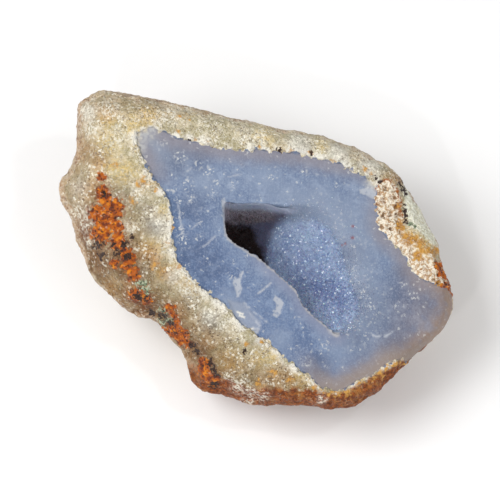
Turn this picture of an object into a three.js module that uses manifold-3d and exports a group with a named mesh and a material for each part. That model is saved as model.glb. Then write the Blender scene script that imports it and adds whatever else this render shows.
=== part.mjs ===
// A broken nodule of blue lace agate: a flat blue face inside a pale rind, with a crystal-lined hollow.
// Millimetres, +Z up. The origin is on the ground, under the middle of the stone.
//
// The stone is drawn in a plane that leans back from level: u runs right, v up the drawing and w out of
// it. The outline is the widest girth, the front is a height over the drawing and the back a bulge below.
import * as THREE from "three";
import { ImprovedNoise } from "three/addons/math/ImprovedNoise.js";
import { mergeVertices } from "three/addons/utils/BufferGeometryUtils.js";
import Module from "manifold-3d";

const lean = 25; // degrees from level to the drawing plane
const girthRings = 19; // rings of the front and back nets, with six more points in each ring
const loopSteps = 240; // straight steps in a closed curve where distances are taken from it
const groundCut = 1.8; // how much of the lowest bulge is worn flat
const fitGap = 0.3; // clearance between the stone and its crystal crust

const face = { slopeU: 0.1, slopeV: 0.16, wave: 0.35, waveSize: 13, layer: 3 };
const rind = { slope: 0.3, ease: 2.2, step: 0.45, stepWidth: 1.6 };
const lumps = { height: 0.6, size: 4.5, from: 4, layer: 9 }; // of the rind
const side = { drop: 2.6, width: 2.6, extraDrop: 6.5, extraWidth: 5.5, towards: 205 };
const bulge = { u: 0, v: 9, w: -33, above: 0.6, below: 0.9, turnover: 25, down: 0.7 };
const skin = { lump: 2.6, lumpSize: 15, grain: 0.9, grainSize: 5.5, shift: 40, inset: 0.5, rimHold: 8 };
const crust = { thickness: 0.7, from: 0.13, toPit: 0.84, toSlope: 0.985, start: 0.05, end: 0.97 };
const crystals = { height: 0.85, smallest: 0.35, offCenter: 0.2, rough: 0.25, sunk: 0.12 };
const crustFade = { ends: 0.12, lip: 0.15, far: 0.3 };
const crustCells = { along: 24, across: 15 };
const hollowCells = { along: 26, across: 18 };
const pitEnds = { from: 0.22, to: 0.6 }; // where the steep pit gives way to the long slope
const fullUndercut = 8; // depth at which the wall runs back under the lip by all of its section
const held = { ends: 0.07, lip: 0.16, brow: 0.86, level: 0.8 }; // shares within which an edge holds the wall
const collar = 14; // how far the hollow's cutting tool stands above the face

// The girth, seen square to the drawing, counterclockwise from the right-hand tip.
const outline = [
  [41.7, -11.9], [41.1, -8.5], [39.4, -3], [38.1, 2.4], [36.2, 5.6], [34.3, 9.3], [31.2, 14.4], [29.5, 16.7],
  [25.7, 19], [19, 22.4], [12.7, 24.3], [6.4, 25.1], [1.4, 26.6], [-3.3, 27.4], [-10.8, 29.3], [-20.1, 31.6],
  [-30.1, 33.3], [-33.3, 33.5], [-35.8, 32.2], [-37.7, 31.4], [-37.7, 27.6], [-37.9, 21.7], [-39.2, 17.1],
  [-41.1, 14.8], [-41.7, 12.5], [-41.1, 10], [-39.4, 7.5], [-38.3, 3.3], [-36.4, -2.2], [-34.5, -6],
  [-31.8, -8.9], [-28.5, -11.7], [-26.4, -13.5], [-21.5, -14.8], [-19.2, -17.3], [-16.1, -21.1],
  [-14.4, -23.6], [-13.8, -27], [-11.9, -29.3], [-7, -30.6], [-1.6, -32.4], [7.2, -32.7], [12.7, -33.1],
  [15.9, -33.7], [21.1, -32.7], [24.9, -30.3], [28.2, -27.4], [32.7, -23], [36.9, -19.4], [39.8, -16.5],
];

// Where the blue face ends and the rind begins. On the right it runs off the stone.
const blueEdge = [
  [-24.9, 23.8], [-21.7, 25.7], [-18.8, 24.3], [-13.8, 22.8], [-6.4, 21.3], [0.9, 20.9], [8.5, 20.3],
  [14, 19], [19.4, 17.3], [23.8, 14.8], [25.7, 12.9], [25.1, 8.9], [26.8, 3.7], [30.6, 0.3], [33.1, -4.3],
  [34.8, -6.2], [39, -7.9], [43.4, -10.6], [40, -20.3], [32.9, -23.2], [28.9, -23.4], [25.1, -25.9],
  [21.1, -27.8],
  [16.7, -29.7], [13.1, -28.2], [7.2, -23.4], [3, -19.8], [-2, -16.3], [-6.2, -12.1], [-10.2, -8.7],
  [-13.8, -5.6], [-16.1, -2.2], [-17.3, 2], [-17.3, 7.2], [-18.6, 11], [-20.7, 13.8], [-22.4, 16.9],
  [-24.3, 20.9],
];

// The hollow opens between its sharp lip, on the lower left, and its far edge. The points go in pairs.
const lip = [
  [-6.2, 5.6], [-5.6, 2.8], [-3, 0.7], [1.4, -2], [5.1, -5.1], [8.9, -8.7], [10.6, -11.9], [14, -15],
  [17.1, -17.7],
];
const farEdge = [
  [-6.4, 10.2], [-3.9, 9.6], [1.4, 9.6], [7.7, 8.7], [14.4, 8.5], [19.8, 2.8], [22.8, -6.4], [24.9, -12.9],
  [21.5, -18],
];
const hollowDepth = [
  [0, 0], [0.06, 10], [0.16, 15.5], [0.3, 15.5], [0.5, 11.5], [0.7, 8], [0.88, 4.5], [1, 0],
];

// Sections of the hollow from the lip to the far edge: share of the width, then share of the depth.
const pitSection = [
  [0, 0], [-0.08, 0.12], [-0.22, 0.36], [-0.27, 0.62], [-0.15, 0.87], [0.1, 1], [0.38, 1], [0.66, 0.93],
  [0.86, 0.76], [0.95, 0.5], [0.99, 0.22], [1, 0],
];
const slopeSection = [
  [0, 0], [-0.05, 0.12], [-0.13, 0.36], [-0.15, 0.62], [-0.07, 0.87], [0.06, 0.98], [0.21, 0.9], [0.37, 0.7],
  [0.53, 0.46], [0.69, 0.25], [0.85, 0.09], [1, 0],
];

// Vugs of the spongy patch on the right: u, v, radius.
const vugs = [
  [27.2, 12.2, 0.9], [28.4, 10.2, 1.2], [29.3, 8.8, 0.9], [27.6, 7, 0.8], [29.9, 6.2, 1.1], [28.6, 4.4, 0.8],
  [31.2, 3, 1.2], [32.4, 1.7, 0.9], [31.2, -0.2, 0.7], [33.6, -0.6, 1.1], [34.7, -2, 0.8], [34.5, -4, 0.9],
  [36.4, -3.4, 1.2], [37.5, -5.1, 0.9],
];
// Shallow broken shells on the front: the middle, the radius, and how deep the ball bites.
const chips = [
  { u: -2.8, v: -14.6, radius: 11, bite: 0.7 },
  { u: 31, v: -17.5, radius: 15, bite: 0.5 },
  { u: -30, v: 13.5, radius: 12, bite: 0.8 },
  { u: -22, v: 28.2, radius: 10, bite: 0.5 },
  { u: -12.5, v: -20.5, radius: 9, bite: 0.7 },
  { u: 11.5, v: 22.6, radius: 8, bite: 0.5 },
];
// Flat breaks on the hidden back: where each plane faces, and how far from the stone's middle it lies.
const breaks = [
  { faces: [-0.75, 0.2, -0.65], out: 35 },
  { faces: [0.66, -0.44, -0.6], out: 31.5 },
  { faces: [0.5, 0.75, -0.5], out: 31 },
  { faces: [-0.35, -0.72, -0.6], out: 27.5 },
];
const middle = new THREE.Vector3(0, 0, -11);

const wasm = await Module();
wasm.setup();
const perlin = new ImprovedNoise();

const smooth = (from, to, x) => THREE.MathUtils.smoothstep(x, from, to);
const mix = THREE.MathUtils.lerp;

function closedCurve(points) {
  const knots = points.map(([u, v]) => new THREE.Vector3(u, v, 0));
  const curve = new THREE.CatmullRomCurve3(knots, true, "centripetal");
  curve.arcLengthDivisions = 1000;
  return curve;
}

function openCurve(points) {
  return new THREE.CatmullRomCurve3(points.map(([a, b]) => new THREE.Vector3(a, b, 0)));
}

// Distance from a point to a closed polyline, negative inside it.
function signedDistance(loop, u, v) {
  let nearest = Infinity;
  let inside = false;
  for (let i = 0, j = loop.length - 1; i < loop.length; j = i, i += 1) {
    const a = loop[j];
    const b = loop[i];
    const along = (u - a.x) * (b.x - a.x) + (v - a.y) * (b.y - a.y);
    const share = THREE.MathUtils.clamp(along / ((b.x - a.x) ** 2 + (b.y - a.y) ** 2), 0, 1);
    nearest = Math.min(nearest, Math.hypot(u - mix(a.x, b.x, share), v - mix(a.y, b.y, share)));
    if (b.y > v !== a.y > v && u < b.x + ((a.x - b.x) * (v - b.y)) / (a.y - b.y)) inside = !inside;
  }
  return inside ? -nearest : nearest;
}

const girth = closedCurve(outline);
const girthLoop = girth.getSpacedPoints(loopSteps).slice(1);
const blueLoop = closedCurve(blueEdge).getSpacedPoints(loopSteps).slice(1);

function noiseAt(u, v, w, size) {
  return perlin.noise(u / size, v / size, w / size);
}

// Height of the front over the drawing: a tilted face, a rind that slopes off, and a rounded flank.
function frontHeight(u, v) {
  const intoRind = Math.max(signedDistance(blueLoop, u, v), 0);
  const inset = Math.max(-signedDistance(girthLoop, u, v), 0);
  const turned = Math.atan2(v, u) - THREE.MathUtils.degToRad(side.towards);
  const flank = Math.max(Math.cos(turned), 0);
  const drop = side.drop + side.extraDrop * flank;
  const width = side.width + side.extraWidth * flank;
  const plane = -face.slopeU * u - face.slopeV * v + face.wave * noiseAt(u, v, face.layer, face.waveSize);
  const shoulder = rind.slope * (Math.hypot(intoRind, rind.ease) - rind.ease);
  const ledge = rind.step * smooth(0, rind.stepWidth, intoRind);
  const lump = lumps.height * smooth(0, lumps.from, intoRind) * noiseAt(u, v, lumps.layer, lumps.size);
  return plane + ledge + lump - shoulder - drop * (1 - smooth(0, width, inset)) ** 2;
}

function frontPoint(u, v) {
  return new THREE.Vector3(u, v, frontHeight(u, v));
}

function frontNormal(u, v) {
  const step = 0.5;
  const slopeU = (frontHeight(u + step, v) - frontHeight(u - step, v)) / (2 * step);
  const slopeV = (frontHeight(u, v + step) - frontHeight(u, v - step)) / (2 * step);
  return new THREE.Vector3(-slopeU, -slopeV, 1).normalize();
}

// A net over a disc: ring k holds 6k points. Calls place(ring, turn) and returns points and triangles.
function discNet(rings, place) {
  const points = [place(0, 0)];
  const faces = [];
  const first = (ring) => (ring === 0 ? 0 : 1 + 3 * ring * (ring - 1));
  for (let ring = 1; ring <= rings; ring += 1) {
    for (let j = 0; j < 6 * ring; j += 1) points.push(place(ring, j / (6 * ring)));
    for (let sector = 0; sector < 6; sector += 1) {
      for (let j = 0; j < ring; j += 1) {
        const outer = (step) => first(ring) + ((sector * ring + j + step) % (6 * ring));
        const inner = (step) =>
          first(ring - 1) + (ring === 1 ? 0 : (sector * (ring - 1) + j + step) % (6 * (ring - 1)));
        faces.push([outer(0), outer(1), inner(0)]);
        if (j < ring - 1) faces.push([outer(1), inner(1), inner(0)]);
      }
    }
  }
  return { points, faces };
}

// A solid from points and triangles whose corners are already shared, so nothing is merged.
function solidFrom(points, faces) {
  return manifoldOf(new Float32Array(points.flatMap((p) => [p.x, p.y, p.z])), faces.flat());
}

function solidOf(geometry) {
  const bare = geometry.clone();
  bare.deleteAttribute("normal");
  bare.deleteAttribute("uv");
  const merged = mergeVertices(bare, 1e-4);
  return manifoldOf(merged.attributes.position.array, merged.index.array);
}

function manifoldOf(vertProperties, corners) {
  return new wasm.Manifold(
    new wasm.Mesh({ numProp: 3, vertProperties, triVerts: new Uint32Array(corners) }),
  );
}

// The whole stone before anything is cut from it: front and back nets that share the girth ring.
function roughStone() {
  const rim = (turn) => girth.getPointAt(turn % 1);
  const front = discNet(girthRings, (ring, turn) => {
    const edge = rim(turn);
    const reach = Math.sin((ring / girthRings) * (Math.PI / 2));
    return frontPoint(edge.x * reach, edge.y * reach);
  });
  const back = discNet(girthRings, (ring, turn) => {
    const edge = rim(turn);
    const angle = (ring / girthRings) * (Math.PI / 2);
    const upper = smooth(-bulge.turnover, bulge.turnover, edge.y);
    const reach = Math.sin(angle) ** mix(bulge.below, bulge.above, upper);
    const down = Math.cos(angle) ** bulge.down;
    const rimHeight = frontHeight(edge.x, edge.y);
    const spot = new THREE.Vector3(
      mix(bulge.u, edge.x, reach),
      mix(bulge.v, edge.y, reach),
      mix(rimHeight, bulge.w, ring === girthRings ? 0 : down),
    );
    const outward = spot.clone().sub(middle).normalize();
    const lump =
      skin.lump * noiseAt(spot.x, spot.y, spot.z + skin.shift, skin.lumpSize) +
      skin.grain * noiseAt(spot.x, spot.y, spot.z + skin.shift, skin.grainSize);
    return spot.addScaledVector(outward, (lump - skin.inset) * (1 - reach ** skin.rimHold));
  });
  const ringStart = front.points.length - 6 * girthRings;
  const inner = back.points.slice(0, ringStart);
  const shared = (i) => (i < ringStart ? front.points.length + i : i);
  return solidFrom(
    [...front.points, ...inner],
    [...front.faces, ...back.faces.map(([a, b, c]) => [shared(a), shared(c), shared(b)])],
  );
}

const lipCurve = openCurve(lip);
const farCurve = openCurve(farEdge);
const depthCurve = openCurve(hollowDepth);
const pitCurve = openCurve(pitSection);
const slopeCurve = openCurve(slopeSection);

// A point of the hollow's wall: along runs from the deep end to the shallow one, across from lip to far edge.
function hollowPoint(along, across) {
  const near = lipCurve.getPoint(along);
  const far = farCurve.getPoint(along);
  const section = pitCurve.getPoint(across).lerp(slopeCurve.getPoint(across), slopeShare(along));
  const depth = along <= 0 || along >= 1 ? 0 : Math.max(depthAt(along), 0);
  const spread = section.x < 0 ? section.x * Math.min(depth / fullUndercut, 1) : section.x;
  const brow = mix(frontHeight(near.x, near.y), frontHeight(far.x, far.y), Math.max(section.x, 0));
  return new THREE.Vector3(mix(near.x, far.x, spread), mix(near.y, far.y, spread), brow - depth * section.y);
}

// How far the steep pit has given way to the long slope.
function slopeShare(along) {
  return smooth(pitEnds.from, pitEnds.to, along);
}

function depthAt(along) {
  const i = Math.max(hollowDepth.findIndex(([t]) => t >= along), 1);
  const [t0] = hollowDepth[i - 1];
  const [t1] = hollowDepth[i];
  const share = (along - t0) / (t1 - t0);
  return depthCurve.getPoint((i - 1 + share) / (hollowDepth.length - 1)).y;
}

// The wall's own direction, into the hollow, by small steps along it.
function hollowNormal(along, across) {
  const step = 0.01;
  const here = THREE.MathUtils.clamp(along, step, 1 - step);
  const there = THREE.MathUtils.clamp(across, step, 1 - step);
  const a = hollowPoint(here + step, there).sub(hollowPoint(here - step, there));
  const b = hollowPoint(here, there + step).sub(hollowPoint(here, there - step));
  const normal = a.cross(b).normalize();
  const level = smooth(held.level, 1, across) * slopeShare(along);
  return normal.lerp(new THREE.Vector3(0, 0, 1), level).normalize();
}

// The wall moved by an amount: away from the hollow if it is below zero. The lip, the ends and the far
// edge of the pit stay put.
function liningPoint(along, across, amount) {
  const ends = smooth(0, held.ends, along) * smooth(0, held.ends, 1 - along);
  const brow = mix(1 - smooth(held.brow, 1, across), 1, slopeShare(along));
  const free = smooth(0, held.lip, across) * ends * brow;
  return hollowPoint(along, across).addScaledVector(hollowNormal(along, across), amount * free);
}

// A closed solid between two nets with the same edge: rows of points for the top and for the bottom.
function blanket(top, bottom, peaks) {
  const points = [...top.flat(), ...bottom.flat()];
  const columns = top[0].length;
  const rows = top.length;
  const under = rows * columns;
  const at = (i, j) => i * columns + j;
  const faces = [];
  for (let i = 0; i + 1 < rows; i += 1) {
    for (let j = 0; j + 1 < columns; j += 1) {
      const corners = [at(i, j), at(i + 1, j), at(i + 1, j + 1), at(i, j + 1)];
      const [a, b, c, d] = corners;
      if (peaks) {
        const peak = points.push(peaks[i][j]) - 1;
        corners.forEach((corner, k) => faces.push([corner, corners[(k + 1) % 4], peak]));
      } else {
        faces.push([a, b, c], [a, c, d]);
      }
      faces.push([under + a, under + c, under + b], [under + a, under + d, under + c]);
    }
  }
  const skirt = (p, q) => faces.push([p, q, under + q], [p, under + q, under + p]);
  for (let i = 0; i + 1 < rows; i += 1) {
    skirt(at(i + 1, 0), at(i, 0));
    skirt(at(i, columns - 1), at(i + 1, columns - 1));
  }
  for (let j = 0; j + 1 < columns; j += 1) {
    skirt(at(0, j), at(0, j + 1));
    skirt(at(rows - 1, j + 1), at(rows - 1, j));
  }
  return solidFrom(points, faces);
}

// Rows of points along the hollow, each from share 0 to 1 of the way across.
function net(cells, place) {
  return Array.from({ length: cells.along + 1 }, (_, i) =>
    Array.from({ length: cells.across + 1 }, (_unused, j) => place(i / cells.along, j / cells.across)),
  );
}

// What is cut out for the hollow: its wall, set back for the crust, and straight sides up through the face.
function hollowTool() {
  const setBack = -(crust.thickness + fitGap);
  const wall = net(hollowCells, (along, across) => liningPoint(along, across, setBack));
  const lid = net(hollowCells, (along, across) => {
    const near = lipCurve.getPoint(along);
    return near.lerp(farCurve.getPoint(along), across).setZ(collar);
  });
  return blanket(lid, wall);
}

// The druse: a thin skin on the hollow's wall, with one four-sided crystal on each cell of its net.
function druseCrust() {
  const random = seeded(7);
  const spread = (i, j, amount) => {
    const along = mix(crust.start, crust.end, i);
    const to = mix(crust.toPit, crust.toSlope, slopeShare(along));
    const ends = smooth(0, crustFade.ends, i) * smooth(0, crustFade.ends, 1 - i);
    const fade = ends * smooth(0, crustFade.lip, j) * smooth(0, crustFade.far, 1 - j);
    return liningPoint(along, mix(crust.from, to, j), amount(fade));
  };
  const inCell = () => 0.5 + crystals.offCenter * (2 * random() - 1);
  const base = net(crustCells, (i, j) => spread(i, j, () => -crust.thickness));
  const foot = net(crustCells, (i, j) =>
    spread(i, j, (fade) => crystals.rough * (random() - 0.5) * fade - crystals.sunk),
  );
  const peaks = net(crustCells, (i, j) => {
    const along = Math.min(i + inCell() / crustCells.along, 1);
    const across = Math.min(j + inCell() / crustCells.across, 1);
    return spread(along, across, (fade) => crystals.height * mix(crystals.smallest, 1, random()) * fade);
  });
  return blanket(foot, base, peaks);
}

function seeded(seed) {
  let state = seed;
  return () => {
    state = (state * 16807) % 2147483647;
    return state / 2147483647;
  };
}

function ball(radius, detail, center) {
  return solidOf(new THREE.IcosahedronGeometry(radius, detail).translate(...center));
}

// A block whose near face lies in the plane that faces a direction, far enough out to clear the stone.
function slab(faces, point) {
  const size = 200;
  const outward = new THREE.Vector3(...faces).normalize();
  const turn = new THREE.Quaternion().setFromUnitVectors(new THREE.Vector3(0, 0, 1), outward);
  const geometry = new THREE.BoxGeometry(size, size, size).translate(0, 0, size / 2);
  geometry.applyQuaternion(turn).translate(point.x, point.y, point.z);
  return solidOf(geometry);
}

function geometryOf(solid) {
  const mesh = solid.getMesh();
  const geometry = new THREE.BufferGeometry();
  const position = new Float32Array(mesh.numVert * 3);
  for (let i = 0; i < mesh.numVert; i += 1) {
    position.set(mesh.vertProperties.subarray(i * mesh.numProp, i * mesh.numProp + 3), 3 * i);
  }
  geometry.setAttribute("position", new THREE.BufferAttribute(position, 3));
  geometry.setIndex([...mesh.triVerts]);
  return geometry;
}

function carvedStone() {
  let stone = roughStone();
  for (const { faces, out } of breaks) {
    const outward = new THREE.Vector3(...faces).normalize();
    stone = stone.subtract(slab(faces, middle.clone().addScaledVector(outward, out)));
  }
  for (const { u, v, radius, bite } of chips) {
    const center = frontPoint(u, v).addScaledVector(frontNormal(u, v), radius - bite);
    stone = stone.subtract(ball(radius, 6, center));
  }
  for (const [u, v, radius] of vugs) stone = stone.subtract(ball(radius, 1, frontPoint(u, v)));
  return stone.subtract(hollowTool());
}

const stand = new THREE.Matrix4().makeRotationX(THREE.MathUtils.degToRad(lean));
const up = new THREE.Vector3(0, 0, 1).applyMatrix4(stand.clone().invert());

// Cuts the small flat that the stone rests on, square to the way up.
function restingStone(stone) {
  const geometry = geometryOf(stone).applyMatrix4(stand);
  geometry.computeBoundingBox();
  const level = geometry.boundingBox.min.z + groundCut;
  return stone.subtract(slab(up.clone().negate().toArray(), up.clone().multiplyScalar(level)));
}

const stoneGeometry = geometryOf(restingStone(carvedStone())).applyMatrix4(stand);
const druseGeometry = geometryOf(druseCrust()).applyMatrix4(stand);
stoneGeometry.computeBoundingBox();
const box = stoneGeometry.boundingBox;
const home = new THREE.Vector3(-(box.min.x + box.max.x) / 2, -(box.min.y + box.max.y) / 2, -box.min.z);

const chalcedony = new THREE.MeshStandardMaterial({ color: 0x8a9abc, roughness: 0.5, metalness: 0 });
const quartz = new THREE.MeshStandardMaterial({ color: 0x75869f, roughness: 0.15, metalness: 0 });
for (const material of [chalcedony, quartz]) material.flatShading = true;

function piece(name, geometry, material) {
  geometry.translate(home.x, home.y, home.z);
  geometry.computeVertexNormals();
  const mesh = new THREE.Mesh(geometry, material);
  mesh.name = name;
  return mesh;
}

const agate = new THREE.Group();
agate.add(piece("agate_stone", stoneGeometry, chalcedony));
agate.add(piece("druse_crust", druseGeometry, quartz));

export default agate;
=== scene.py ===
# Blue lace agate: a broken nodule with a flat blue face, a sugary rind and a hollow lined with crystals.
import math
from types import SimpleNamespace
import bpy
import numpy as np
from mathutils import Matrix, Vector, noise
from mathutils.bvhtree import BVHTree


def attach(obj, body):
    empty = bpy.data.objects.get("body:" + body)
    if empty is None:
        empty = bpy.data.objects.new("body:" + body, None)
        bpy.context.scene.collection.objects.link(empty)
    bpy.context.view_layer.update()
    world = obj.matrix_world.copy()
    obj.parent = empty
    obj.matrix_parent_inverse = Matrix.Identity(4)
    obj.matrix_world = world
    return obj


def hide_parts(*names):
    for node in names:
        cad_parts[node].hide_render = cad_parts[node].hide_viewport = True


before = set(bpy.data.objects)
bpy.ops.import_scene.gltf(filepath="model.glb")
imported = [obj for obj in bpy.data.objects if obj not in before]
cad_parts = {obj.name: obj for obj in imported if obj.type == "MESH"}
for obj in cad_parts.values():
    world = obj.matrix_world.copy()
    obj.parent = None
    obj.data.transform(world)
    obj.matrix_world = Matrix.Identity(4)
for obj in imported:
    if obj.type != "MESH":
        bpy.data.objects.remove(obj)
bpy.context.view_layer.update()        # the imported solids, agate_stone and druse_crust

print("The drawing that the stone was measured in")

drawing = {
    "lean": 25.0,  # degrees from level to the plane that the stone is drawn in
    "home": (0.0, -3.6, 31.64),  # mm, where the middle of the drawing lies in the part's frame
    "faceSlope": (-0.1, -0.16),  # rise of the blue face out of the drawing, to the right and up it
}
mm = 0.001
lean = math.radians(drawing["lean"])
acrossAxis = np.array((1.0, 0.0, 0.0))
upAxis = np.array((0.0, math.cos(lean), math.sin(lean)))
outAxis = np.array((0.0, -math.sin(lean), math.cos(lean)))

# All the lists below are in mm: to the right and up the drawing, then a radius where there is a third
blueEdge = [
    (-24.9, 23.8), (-21.7, 25.7), (-18.8, 24.3), (-13.8, 22.8), (-6.4, 21.3), (0.9, 20.9), (8.5, 20.3),
    (14, 19), (19.4, 17.3), (23.8, 14.8), (25.7, 12.9), (25.1, 8.9), (26.8, 3.7), (30.6, 0.3),
    (33.1, -4.3), (34.8, -6.2), (39, -7.9), (43.4, -10.6), (40, -20.3), (32.9, -23.2), (28.9, -23.4),
    (25.1, -25.9), (21.1, -27.8), (16.7, -29.7), (13.1, -28.2), (7.2, -23.4), (3, -19.8), (-2, -16.3),
    (-6.2, -12.1), (-10.2, -8.7), (-13.8, -5.6), (-16.1, -2.2), (-17.3, 2), (-17.3, 7.2), (-18.6, 11),
    (-20.7, 13.8), (-22.4, 16.9), (-24.3, 20.9),
]
girth = [
    (41.7, -11.9), (41.1, -8.5), (39.4, -3), (38.1, 2.4), (36.2, 5.6), (34.3, 9.3), (31.2, 14.4),
    (29.5, 16.7), (25.7, 19), (19, 22.4), (12.7, 24.3), (6.4, 25.1), (1.4, 26.6), (-3.3, 27.4),
    (-10.8, 29.3), (-20.1, 31.6), (-30.1, 33.3), (-33.3, 33.5), (-35.8, 32.2), (-37.7, 31.4),
    (-37.7, 27.6), (-37.9, 21.7), (-39.2, 17.1), (-41.1, 14.8), (-41.7, 12.5), (-41.1, 10), (-39.4, 7.5),
    (-38.3, 3.3), (-36.4, -2.2), (-34.5, -6), (-31.8, -8.9), (-28.5, -11.7), (-26.4, -13.5),
    (-21.5, -14.8), (-19.2, -17.3), (-16.1, -21.1), (-14.4, -23.6), (-13.8, -27), (-11.9, -29.3),
    (-7, -30.6), (-1.6, -32.4), (7.2, -32.7), (12.7, -33.1), (15.9, -33.7), (21.1, -32.7), (24.9, -30.3),
    (28.2, -27.4), (32.7, -23), (36.9, -19.4), (39.8, -16.5),
]
lip = [
    (-6.2, 5.6), (-5.6, 2.8), (-3, 0.7), (1.4, -2), (5.1, -5.1), (8.9, -8.7), (10.6, -11.9), (14, -15),
    (17.1, -17.7),
]
farEdge = [
    (-6.4, 10.2), (-3.9, 9.6), (1.4, 9.6), (7.7, 8.7), (14.4, 8.5), (19.8, 2.8), (22.8, -6.4),
    (24.9, -12.9), (21.5, -18),
]
spongyEdge = [
    (25.9, 13.8), (28, 14.8), (29.9, 12.5), (30.8, 7.9), (32, 3.7), (35.4, 1.4), (37.9, -2.6), (40, -6.8),
    (41.1, -10.2), (39, -8.1), (34.8, -6.2), (33.1, -4.3), (30.6, 0.3), (26.8, 3.7), (25.1, 8.9),
]


def toDrawing(points):  # metres in the part's frame to mm across, up and out of the drawing
    away = points / mm - np.array(drawing["home"])
    return np.stack((away @ acrossAxis, away @ upAxis, away @ outAxis), axis=1)


def fromDrawing(across, up, out):  # and back
    away = across * acrossAxis + up * upAxis + out * outAxis
    return Vector((away + np.array(drawing["home"])) * mm)


def rise(low, high, values):  # 0 at low, 1 at high, smooth between
    share = np.clip((values - low) / (high - low), 0, 1)
    return share * share * (3 - 2 * share)


def smoothLine(knots, closed=False, steps=6):  # a smooth curve through the knots
    knots = np.array(knots, float)
    last = len(knots) - 1
    share = (np.arange(steps) / steps)[:, None]
    pieces = []
    for i in range(len(knots) if closed else last):
        around = [i - 1, i, i + 1, i + 2]
        around = np.mod(around, len(knots)) if closed else np.clip(around, 0, last)
        a, b, c, d = knots[around]
        curve = 2 * b + (c - a) * share + (2 * a - 5 * b + 4 * c - d) * share**2
        pieces.append(0.5 * (curve + (3 * b - a - 3 * c + d) * share**3))
    if not closed:
        pieces.append(knots[-1:])
    return np.concatenate(pieces)


def lineDistance(spots, line, closed=False):
    starts = line if closed else line[:-1]
    ends = np.roll(line, -1, axis=0) if closed else line[1:]
    nearest = np.full(len(spots), np.inf)
    for start, end in zip(starts, ends):
        step = end - start
        share = np.clip((spots - start) @ step / (step @ step), 0, 1)
        away = spots - start - share[:, None] * step
        nearest = np.minimum(nearest, (away**2).sum(axis=1))
    return np.sqrt(nearest)


def loopGap(spots, loop):  # distance to a closed line, negative inside it
    inside = np.zeros(len(spots), bool)
    for start, end in zip(loop, np.roll(loop, -1, axis=0)):
        if start[1] == end[1]:
            continue
        crosses = (start[1] > spots[:, 1]) != (end[1] > spots[:, 1])
        meets = start[0] + (spots[:, 1] - start[1]) * (end[0] - start[0]) / (end[1] - start[1])
        inside ^= crosses & (spots[:, 0] < meets)
    return np.where(inside, -1, 1) * lineDistance(spots, loop, True)


def fractal(points, size, octaves=3, seed=0):  # noise of about -1 to 1 at points in mm
    away = Vector((seed * 3.1, seed * 1.7, seed * 2.3))
    return np.array([noise.fractal(Vector(p) / size + away, 1.0, 2.0, octaves) for p in points.tolist()])


def cells(points, size, seed=0):  # distances to the nearest and the next cell's middle, in cell sizes
    away = Vector((seed * 2.9, seed * 1.3, seed * 3.7))
    return np.array([noise.voronoi(Vector(p) / size + away)[0][:2] for p in points.tolist()])


def patches(spots, places, softness=0.45):  # 1 inside the round places, falling to 0 at their edges
    value = np.zeros(len(spots))
    for across, up, radius in places:
        away = np.hypot(spots[:, 0] - across, spots[:, 1] - up) / radius
        value = np.maximum(value, rise(1 + softness, 1 - softness, away))
    return value


def meshArrays(mesh):
    points = np.empty(len(mesh.vertices) * 3, np.float32)
    mesh.vertices.foreach_get("co", points)
    normals = np.empty(len(mesh.vertices) * 3, np.float32)
    mesh.vertices.foreach_get("normal", normals)
    edges = np.empty(len(mesh.edges) * 2, np.int32)
    mesh.edges.foreach_get("vertices", edges)
    return points.reshape(-1, 3).astype(float), normals.reshape(-1, 3).astype(float), edges.reshape(-1, 2)


def setPoints(mesh, points):
    mesh.vertices.foreach_set("co", points.astype(np.float32).ravel())
    mesh.update()


def setMask(mesh, name, values):
    layer = mesh.attributes.new(name, "FLOAT", "POINT")
    layer.data.foreach_set("value", np.clip(values, 0, 1).astype(np.float32))


def voxelCopy(mesh, name, voxel):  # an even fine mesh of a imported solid
    piece = bpy.data.objects.new(name, mesh.copy())
    bpy.context.scene.collection.objects.link(piece)
    remesh = piece.modifiers.new("voxels", "REMESH")
    remesh.mode = "VOXEL"
    remesh.voxel_size = voxel * mm
    applyModifiers(piece)
    return piece


def applyModifiers(piece):
    graph = bpy.context.evaluated_depsgraph_get()
    mesh = bpy.data.meshes.new_from_object(piece.evaluated_get(graph))
    old = piece.data
    piece.modifiers.clear()
    piece.data = mesh
    mesh.name = piece.name
    bpy.data.meshes.remove(old)


def relax(points, edges, weight, rounds):  # moves each point towards its neighbours' mean
    count = len(points)
    first, second = edges[:, 0], edges[:, 1]
    shares = np.bincount(first, minlength=count) + np.bincount(second, minlength=count)
    for _ in range(rounds):
        for axis in range(3):
            column = points[:, axis]
            sums = np.bincount(first, column[second], count) + np.bincount(second, column[first], count)
            points[:, axis] = column + weight * (sums / shares - column)
    return points


blueLoop = smoothLine(blueEdge, True)
girthLoop = smoothLine(girth, True)
spongyLoop = smoothLine(spongyEdge, True)
lipLine = smoothLine(lip)
farLine = smoothLine(farEdge)
hollowLoop = np.concatenate((lipLine, farLine[::-1]))

print("The stone's surface")

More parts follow.
